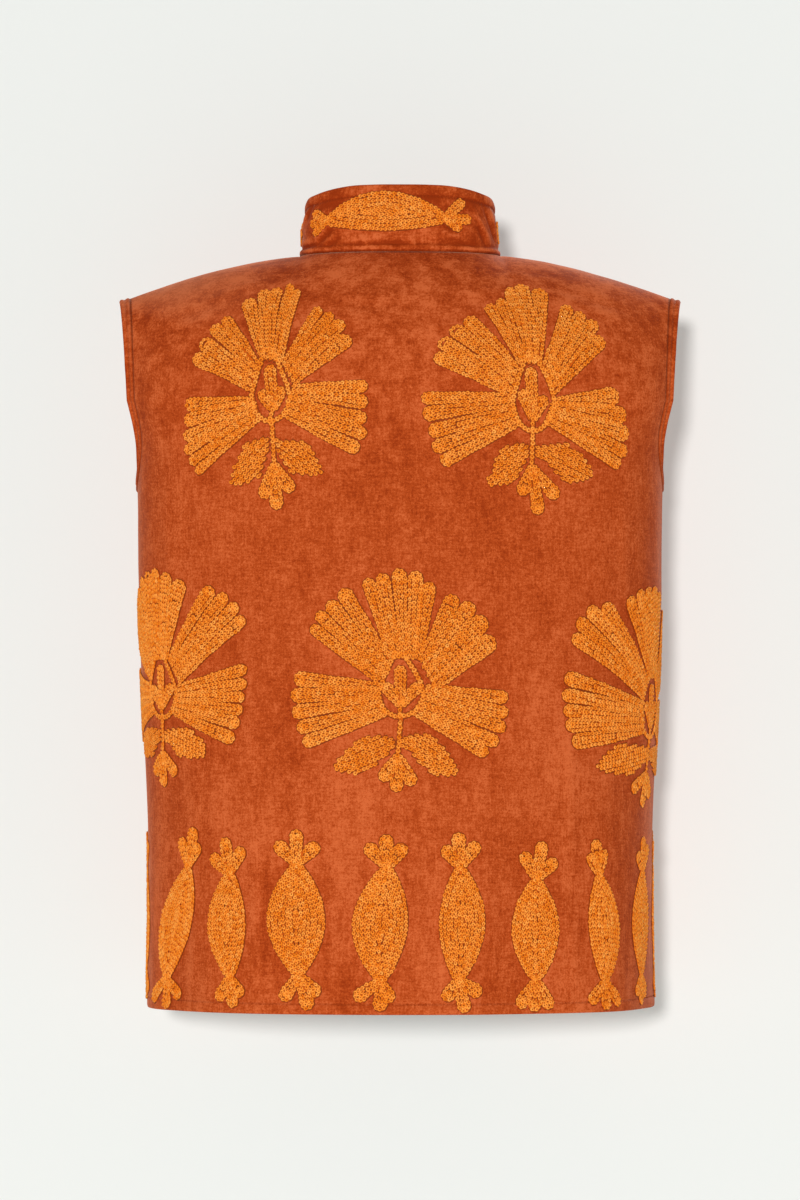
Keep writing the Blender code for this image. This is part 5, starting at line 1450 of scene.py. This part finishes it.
pod = {
    "end": 0.0045,  # half width of the spindle at its ends
    "fullness": 0.85,
    "lobeStart": 0.0032,
    "steps": 90,
    "least": 0.3,  # the narrowest row that is laid, as a share of a row
    # the ends of the spindle, how far it reaches left and right, the tips of its crown and of its tail, and
    # the half width of the lobes near their tips
    "forms": {
        "hem01": ((0.0074, 0.046), (0.0025, -0.0449), (-0.0211, 0.0245), ((-0.0097, 0.0655),
         (0.0066, 0.0736), (0.0221, 0.0655)), ((-0.0195, -0.0612), (0.0017, -0.0709), (0.0107, -0.0636)),
         0.0062),
        "hem02": ((0.0022, 0.0452), (0.003, -0.0435), (-0.0233, 0.0256), ((-0.0157, 0.0637),
         (0.0015, 0.0744), (0.0199, 0.0632)), ((-0.0099, -0.0656), (0.0123, -0.0727), (0.0206, -0.0612)),
         0.0062),
        "hem03": ((0.0064, 0.0402), (0.006, -0.0431), (-0.017, 0.0208), ((-0.0132, 0.0554), (0.001, 0.0703),
         (0.0188, 0.0624)), ((-0.007, -0.0638), (0.0097, -0.0691), (0.0182, -0.06)), 0.006),
        "hem04": ((0.0218, 0.0402), (-0.0109, -0.0502), (-0.0196, 0.026), ((0.0137, 0.0655),
         (0.0309, 0.074), (0.0362, 0.061)), ((-0.0375, -0.0702), (-0.0114, -0.0765), (0.0087, -0.0668)),
         0.0062),
        "hem10": ((0.0, 0.0449), (-0.0017, -0.0452), (-0.0172, 0.0207), ((-0.014, 0.0628),
         (-0.0017, 0.0742), (0.0148, 0.066)), ((-0.0132, -0.063), (0.0041, -0.0729), (0.0174, -0.0584)),
         0.006),
        "hem11": ((0.0032, 0.0377), (0.0034, -0.043), (-0.0185, 0.0234), ((-0.0092, 0.0606),
         (0.0084, 0.0694), (0.0212, 0.0546)), ((-0.0124, -0.0663), (0.0017, -0.0698), (0.0162, -0.0677)),
         0.006),
        "hem12": ((-0.002, 0.038), (0.0033, -0.0472), (-0.0132, 0.0222), ((-0.0128, 0.057),
         (-0.0068, 0.0684), (0.0032, 0.06)), ((-0.0128, -0.0664), (0.0047, -0.0718), (0.0217, -0.0683)),
         0.0056),
        "hem13": ((0.0, 0.04), (0.0, -0.044), (-0.0212, 0.021), ((-0.012, 0.056), (0.0005, 0.069),
         (0.014, 0.062)), ((-0.013, -0.062), (0.0005, -0.07), (0.013, -0.063)), 0.006),
        "plain": ((0.0, 0.043), (0.0, -0.043), (-0.0216, 0.0216), ((-0.016, 0.063), (0.001, 0.072),
         (0.016, 0.063)), ((-0.015, -0.061), (0.0005, -0.0695), (0.014, -0.062)), 0.0062),
        "collar": ((-0.0005, 0.05), (-0.0005, -0.05), (-0.0225, 0.0105), ((-0.0175, 0.0695),
         (-0.001, 0.0755), (0.0085, 0.066)), ((-0.0115, -0.069), (-0.0005, -0.072), (0.0105, -0.0665)),
         0.0046),
    },
    # form, surface, along, height, scales right, left, up and down where they aren't 1, and lean in degrees
    "places": {
        "pod_hem_01": ("hem01", "ring", 0.018, -0.549),
        "pod_hem_02": ("hem02", "ring", 0.087, -0.546),
        "pod_hem_03": ("hem03", "ring", 0.15, -0.549),
        "pod_hem_04": ("hem04", "ring", 0.212, -0.545),
        "pod_hem_05": ("plain", "ring", 0.28, -0.548, (0.96, 0.96, 1, 0.98)),
        "pod_hem_06": ("plain", "ring", 0.343, -0.548, (0.98, 0.98, 1, 0.98)),
        "pod_hem_07": ("plain", "ring", 0.41, -0.548, (0.98, 0.98, 1, 0.98), 1),
        "pod_hem_08": ("plain", "ring", 0.477, -0.548, (0.98, 0.98, 1, 0.98)),
        "pod_hem_09": ("plain", "ring", 0.543, -0.548, (0.98, 0.98, 1, 0.98)),
        "pod_hem_10": ("hem10", "ring", -0.049, -0.548),
        "pod_hem_11": ("hem11", "ring", -0.111, -0.551),
        "pod_hem_12": ("hem12", "ring", -0.175, -0.549),
        "pod_hem_13": ("hem13", "ring", -0.24, -0.549),
        "pod_hem_14": ("plain", "ring", -0.306, -0.548, (0.98, 0.98, 1, 0.98)),
        "pod_hem_15": ("plain", "ring", -0.371, -0.548, (0.98, 0.98, 1, 0.98)),
        "pod_hem_16": ("plain", "ring", -0.436, -0.548, (0.98, 0.98, 1, 0.98), 1),
        "pod_hem_17": ("plain", "ring", -0.5, -0.548, (0.98, 0.98, 1, 0.98)),
        "pod_collar_back": ("collar", "collar", 0.013, 0.0275, (1, 1, 1, 1), -90),
        "pod_collar_left": ("plain", "collar", 0.16, 0.024, (0.66, 0.66, 0.74, 0.74), -90),
        "pod_collar_right": ("plain", "collar", -0.15, 0.024, (0.66, 0.66, 0.74, 0.74), -90),
    },
}


def podRows(neck, foot, sides, crown, tail, tipWidth):
    neck, foot = np.array(neck), np.array(foot)
    halfWidth = (sides[1] - sides[0]) / 2
    share = np.linspace(0, 1, pod["steps"])
    full = np.sin(math.pi * share) ** pod["fullness"]
    centre = neck + np.outer(share, foot - neck)
    centre[:, 0] += (sides[0] + sides[1] - neck[0] - foot[0]) / 2 * full
    width = pod["end"] + (halfWidth - pod["end"]) * full
    spacing = 2 * halfWidth / round(2 * halfWidth / stitch["row"])
    least = pod["least"] * spacing
    body, k = [centre], 0
    while halfWidth - (k + 0.5) * spacing > least:
        offset = width - (k + 0.5) * spacing
        kept = offset > least
        reach = np.stack([offset[kept], np.zeros(kept.sum())], axis=1)
        left, right = centre[kept] - reach, centre[kept] + reach
        body.insert(k, np.concatenate([left, right[::-1], left[:1]]))
        k += 1
    parts = [[(line, np.full(len(line), spacing))] for line in body]
    ends = [(neck, tip) for tip in crown] + [(foot, tip) for tip in tail]
    return parts + [lobeRows(end, tip, pod["lobeStart"], tipWidth) for end, tip in ends]


# a line and its widths at even steps of about the length given, once the line is scaled from the heart
def evenSteps(line, widths, scales, step, fewest):
    right, left, up, down = scales
    stretch = [np.where(line[:, 0] > 0, right, left), np.where(line[:, 1] > 0, up, down)]
    line = line * np.stack(stretch, axis=1)
    lengths = lengthsAlong(line)
    at = np.linspace(0, lengths[-1], max(fewest, round(lengths[-1] / step)) + 1)
    x, y, wide = (np.interp(at, lengths, values) for values in (line[:, 0], line[:, 1], widths))
    return np.stack([x, y], axis=1), wide


# the start and the end of each stitch along the rows, in the flat drawing, with its width and its tone
def layStitches(parts, scales, rng):
    laid, centres = [], np.zeros((0, 2))
    for part in parts:
        partTone = rng.gauss(0, stitch["partTone"])
        for line, widths in part:
            places, wide = evenSteps(line, widths, scales, stitch["pitch"], 1)
            added = []
            for a, b, wideA, wideB in zip(places, places[1:], wide, wide[1:]):
                centre, width = (a + b) / 2, (wideA + wideB) / 2
                room = stitch["tooClose"] * min(stitch["row"], width)
                if len(centres) and np.hypot(*(centres - centre).T).min() < room:
                    continue
                drift = np.array((rng.gauss(0, 1), rng.gauss(0, 1))) * stitch["wander"]
                tone = partTone + rng.gauss(0, stitch["loopTone"])
                laid.append((a + drift, b + drift, width, tone, rng.uniform(*stitch["thickness"])))
                added.append(centre)
            if added:
                centres = np.concatenate([centres, added])
    return laid


# a strip under each row, wider than the row by twice the reach
def rowStrips(parts, scales, reach, lift, lay):
    points, faces = [], []
    for line, widths in (row for part in parts for row in part):
        middle, wide = evenSteps(line, widths, scales, stitch["stripStep"], 2)
        forward = unitRows(np.gradient(middle, axis=0), 1e-9)
        aside = np.stack([forward[:, 1], -forward[:, 0]], axis=1) * (wide / 2 + reach)[:, None]
        middle[0] -= forward[0] * reach
        middle[-1] += forward[-1] * reach
        first = len(points)
        for spot, edge in zip(middle, aside):
            for x, y in (spot - edge, spot + edge):
                point, normal = lay(x, y)
                points.append(point + normal * lift)
        for a in range(first, first + 2 * len(middle) - 2, 2):
            faces.append((a, a + 1, a + 3, a + 2))
    return np.array(points), np.array(faces)


def embroider(name, node, parts, surface, along, height, scales, lean, seed):
    turn = math.radians(lean)
    frames, tones = [], []
    for a, b, spacing, tone, thick in layStitches(parts, scales, random.Random(seed)):
        ends = []
        for x, y in (a, b):
            x, y = x * math.cos(turn) - y * math.sin(turn), x * math.sin(turn) + y * math.cos(turn)
            ends.append(onCloth(surface, along - x, height + y))
        (p0, n0), (p1, n1) = ends
        normal = (n0 + n1) / np.linalg.norm(n0 + n1)
        ahead = p1 - p0
        ahead -= normal * (ahead @ normal) * 0.5
        length = np.linalg.norm(ahead)
        if length < stitch["shortest"]:
            continue
        aside = np.cross(normal, ahead / length)
        frames.append((
            (p0 + p1) / 2 - normal * stitch["sink"], ahead * stitch["overlap"],
            aside * spacing * stitch["width"] * thick, normal * stitch["height"] * thick))
        tones.append(tone)
    frames = np.array(frames)

    def lay(x, y):
        place = along - x * math.cos(turn) + y * math.sin(turn)
        return onCloth(surface, place, height + x * math.sin(turn) + y * math.cos(turn))

    # dark strips of pressed pile and painted contact shadow round the rows, shifted down and to the right as
    # a cast shadow; then the yarn between the loops, in painted shade
    pile, shadowFaces = rowStrips(
        parts, scales, stitch["shade"], stitch["shadeLift"],
        lambda x, y: lay(x + stitch["shadeShift"], y - stitch["shadeShift"]))
    ground, groundFaces = rowStrips(parts, scales, stitch["ground"], stitch["groundLift"], lay)
    points = frames[:, None, 0] + sum(
        stitchPoints[None, :, k, None] * frames[:, None, k + 1] for k in range(3))
    count, size = len(frames), len(stitchPoints)
    faces = (stitchFaces[None] + (np.arange(count) * size)[:, None, None]).reshape(-1, 4)
    faces = np.concatenate([faces, shadowFaces + count * size, groundFaces + count * size + len(pile)])
    points = np.concatenate([points.reshape(-1, 3), pile, ground])
    mesh = bpy.data.meshes.new(name)
    mesh.vertices.add(len(points))
    mesh.vertices.foreach_set("co", points.astype(np.float32).ravel())
    mesh.loops.add(len(faces) * 4)
    mesh.loops.foreach_set("vertex_index", faces.astype(np.int32).ravel())
    mesh.polygons.add(len(faces))
    mesh.polygons.foreach_set("loop_start", np.arange(0, len(faces) * 4, 4, dtype=np.int32))
    mesh.polygons.foreach_set("use_smooth", np.ones(len(faces), dtype=bool))
    mesh.update(calc_edges=True)
    setValues(mesh, "tone", np.concatenate([np.repeat(tones, size), np.zeros(len(pile) + len(ground))]))
    # depth 2 marks the strips of pressed pile and painted contact shadow, depth 1 the yarn between the loops
    # in painted shade, and on the loops it gives their painted shade
    setValues(mesh, "depth", np.concatenate([
        np.tile(stitchShade, count), np.full(len(pile), 2.0), np.full(len(ground), 1.0)]))
    mesh.materials.append(orangeWool)
    piece = linked(name, mesh)
    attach(piece, "root")
    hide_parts(node)
    return count


stitchTotal = 0
flowerParts = {name: flowerRows(drawing) for name, drawing in flower["forms"].items()}
podParts = {name: podRows(*drawing) for name, drawing in pod["forms"].items()}
for motif, drawn in ((flower, flowerParts), (pod, podParts)):
    for number, (node, place) in enumerate(motif["places"].items()):
        drawing, surface, along, height, scales, lean = (*place, *((1, 1, 1, 1), 0)[len(place) - 4 :])
        name = "".join(word.capitalize() for word in node.split("_"))
        name = name[0].lower() + name[1:] + "Stitches"
        stitchTotal += embroider(
            name, node, drawn[drawing], maps[surface], along, height, scales, lean,
            stitch["firstSeed"] + number)
print("embroidered with", stitchTotal, "stitches")


studio = {
    "backdrop": (0.864, 0.874, 0.846, 1),
    "wallBehind": -0.172,
    "floor": -0.835,
    "size": 16.0,
    "roughness": 0.95,
    # colour, light of its own and its strength: the wall keeps the tint of its shadow neutral
    "wall": ((0.547, 0.529, 0.510, 1), (0.800, 0.930, 0.910, 1), 0.325),
    "ground": ((0.410, 0.420, 0.404, 1), (0.864, 0.874, 0.846, 1), 0.440),
    # where each light comes from, its strength and how many degrees wide it is
    "key": ((0.085, 1.0, 0.080), 2.48, 4.4),
    "front": ((-0.4, -1.0, 0.5), 1.6, 30),
    "ambient": 0.14,
    "cameraDistance": 7.5,
    "cameraHeight": -0.285,
    "lens": 271.1,
    "sensor": 36,
    "farthest": 60,
}


def backdropMaterial(name, colour, glow, strength):
    material, tree, shader = newMaterial(name)
    feed(tree, shader, {
        "Base Color": colour,
        "Roughness": studio["roughness"],
        "Specular IOR Level": 0.0,
        "Emission Color": glow,
        "Emission Strength": strength,
    })
    clear = addNode(tree, "ShaderNodeBsdfTransparent", {})[0]
    behind = addNode(tree, "ShaderNodeNewGeometry", {})["Backfacing"]
    mixed = mixShaders(tree, behind, shader.outputs[0], clear)
    feed(tree, tree.nodes["Material Output"], {"Surface": mixed})
    return material


def addPlane(name, materialName, colours, **place):
    bpy.ops.mesh.primitive_plane_add(size=studio["size"], **place)
    plane = bpy.context.active_object
    plane.name = name
    plane.data.materials.append(backdropMaterial(materialName, *colours))
    return plane


bpy.ops.object.select_all(action="DESELECT")
wall = addPlane(
    "backdropWall", "paleWall", studio["wall"],
    location=(0, studio["wallBehind"], 0), rotation=(-math.pi / 2, 0, 0))
wall.visible_shadow = False
floor = addPlane("studioFloor", "paleFloor", studio["ground"], location=(0, 0, studio["floor"]))


def addSun(name, direction, strength, spread, onlyOn=None):
    light = bpy.data.lights.new(name, "SUN")
    light.energy, light.angle = strength, math.radians(spread)
    lamp = linked(name, light)
    lamp.rotation_euler = Vector(direction).to_track_quat("Z", "Y").to_euler()
    if onlyOn:
        lamp.light_linking.receiver_collection = onlyOn


garment = bpy.data.collections.new("lit pieces")
for piece in bpy.data.objects:
    if piece.type == "MESH" and not piece.hide_render and piece not in (wall, floor):
        garment.objects.link(piece)
addSun("keyLight", *studio["key"])
addSun("frontLight", *studio["front"], garment)

world = bpy.data.worlds.new("studioAir")
bpy.context.scene.world = world
world.use_nodes = True
air = world.node_tree
ambient = feed(air, air.nodes["Background"], {"Color": (1, 1, 1, 1), "Strength": studio["ambient"]})[0]
inSight = addNode(air, "ShaderNodeLightPath", {})["Is Camera Ray"]
backdrop = addNode(air, "ShaderNodeBackground", {"Color": studio["backdrop"]})[0]
feed(air, air.nodes["World Output"], {"Surface": mixShaders(air, inSight, ambient, backdrop)})

cameraData = bpy.data.cameras.new("camera")
cameraData.sensor_width = studio["sensor"]
cameraData.lens = studio["lens"]
cameraData.clip_end = studio["farthest"]
camera = linked("camera", cameraData)
camera.location = (0, studio["cameraDistance"], studio["cameraHeight"])
camera.rotation_euler = (math.pi / 2, 0, math.pi)
bpy.context.scene.camera = camera
bpy.context.scene.view_settings.view_transform = "Standard"
print("studio lit")
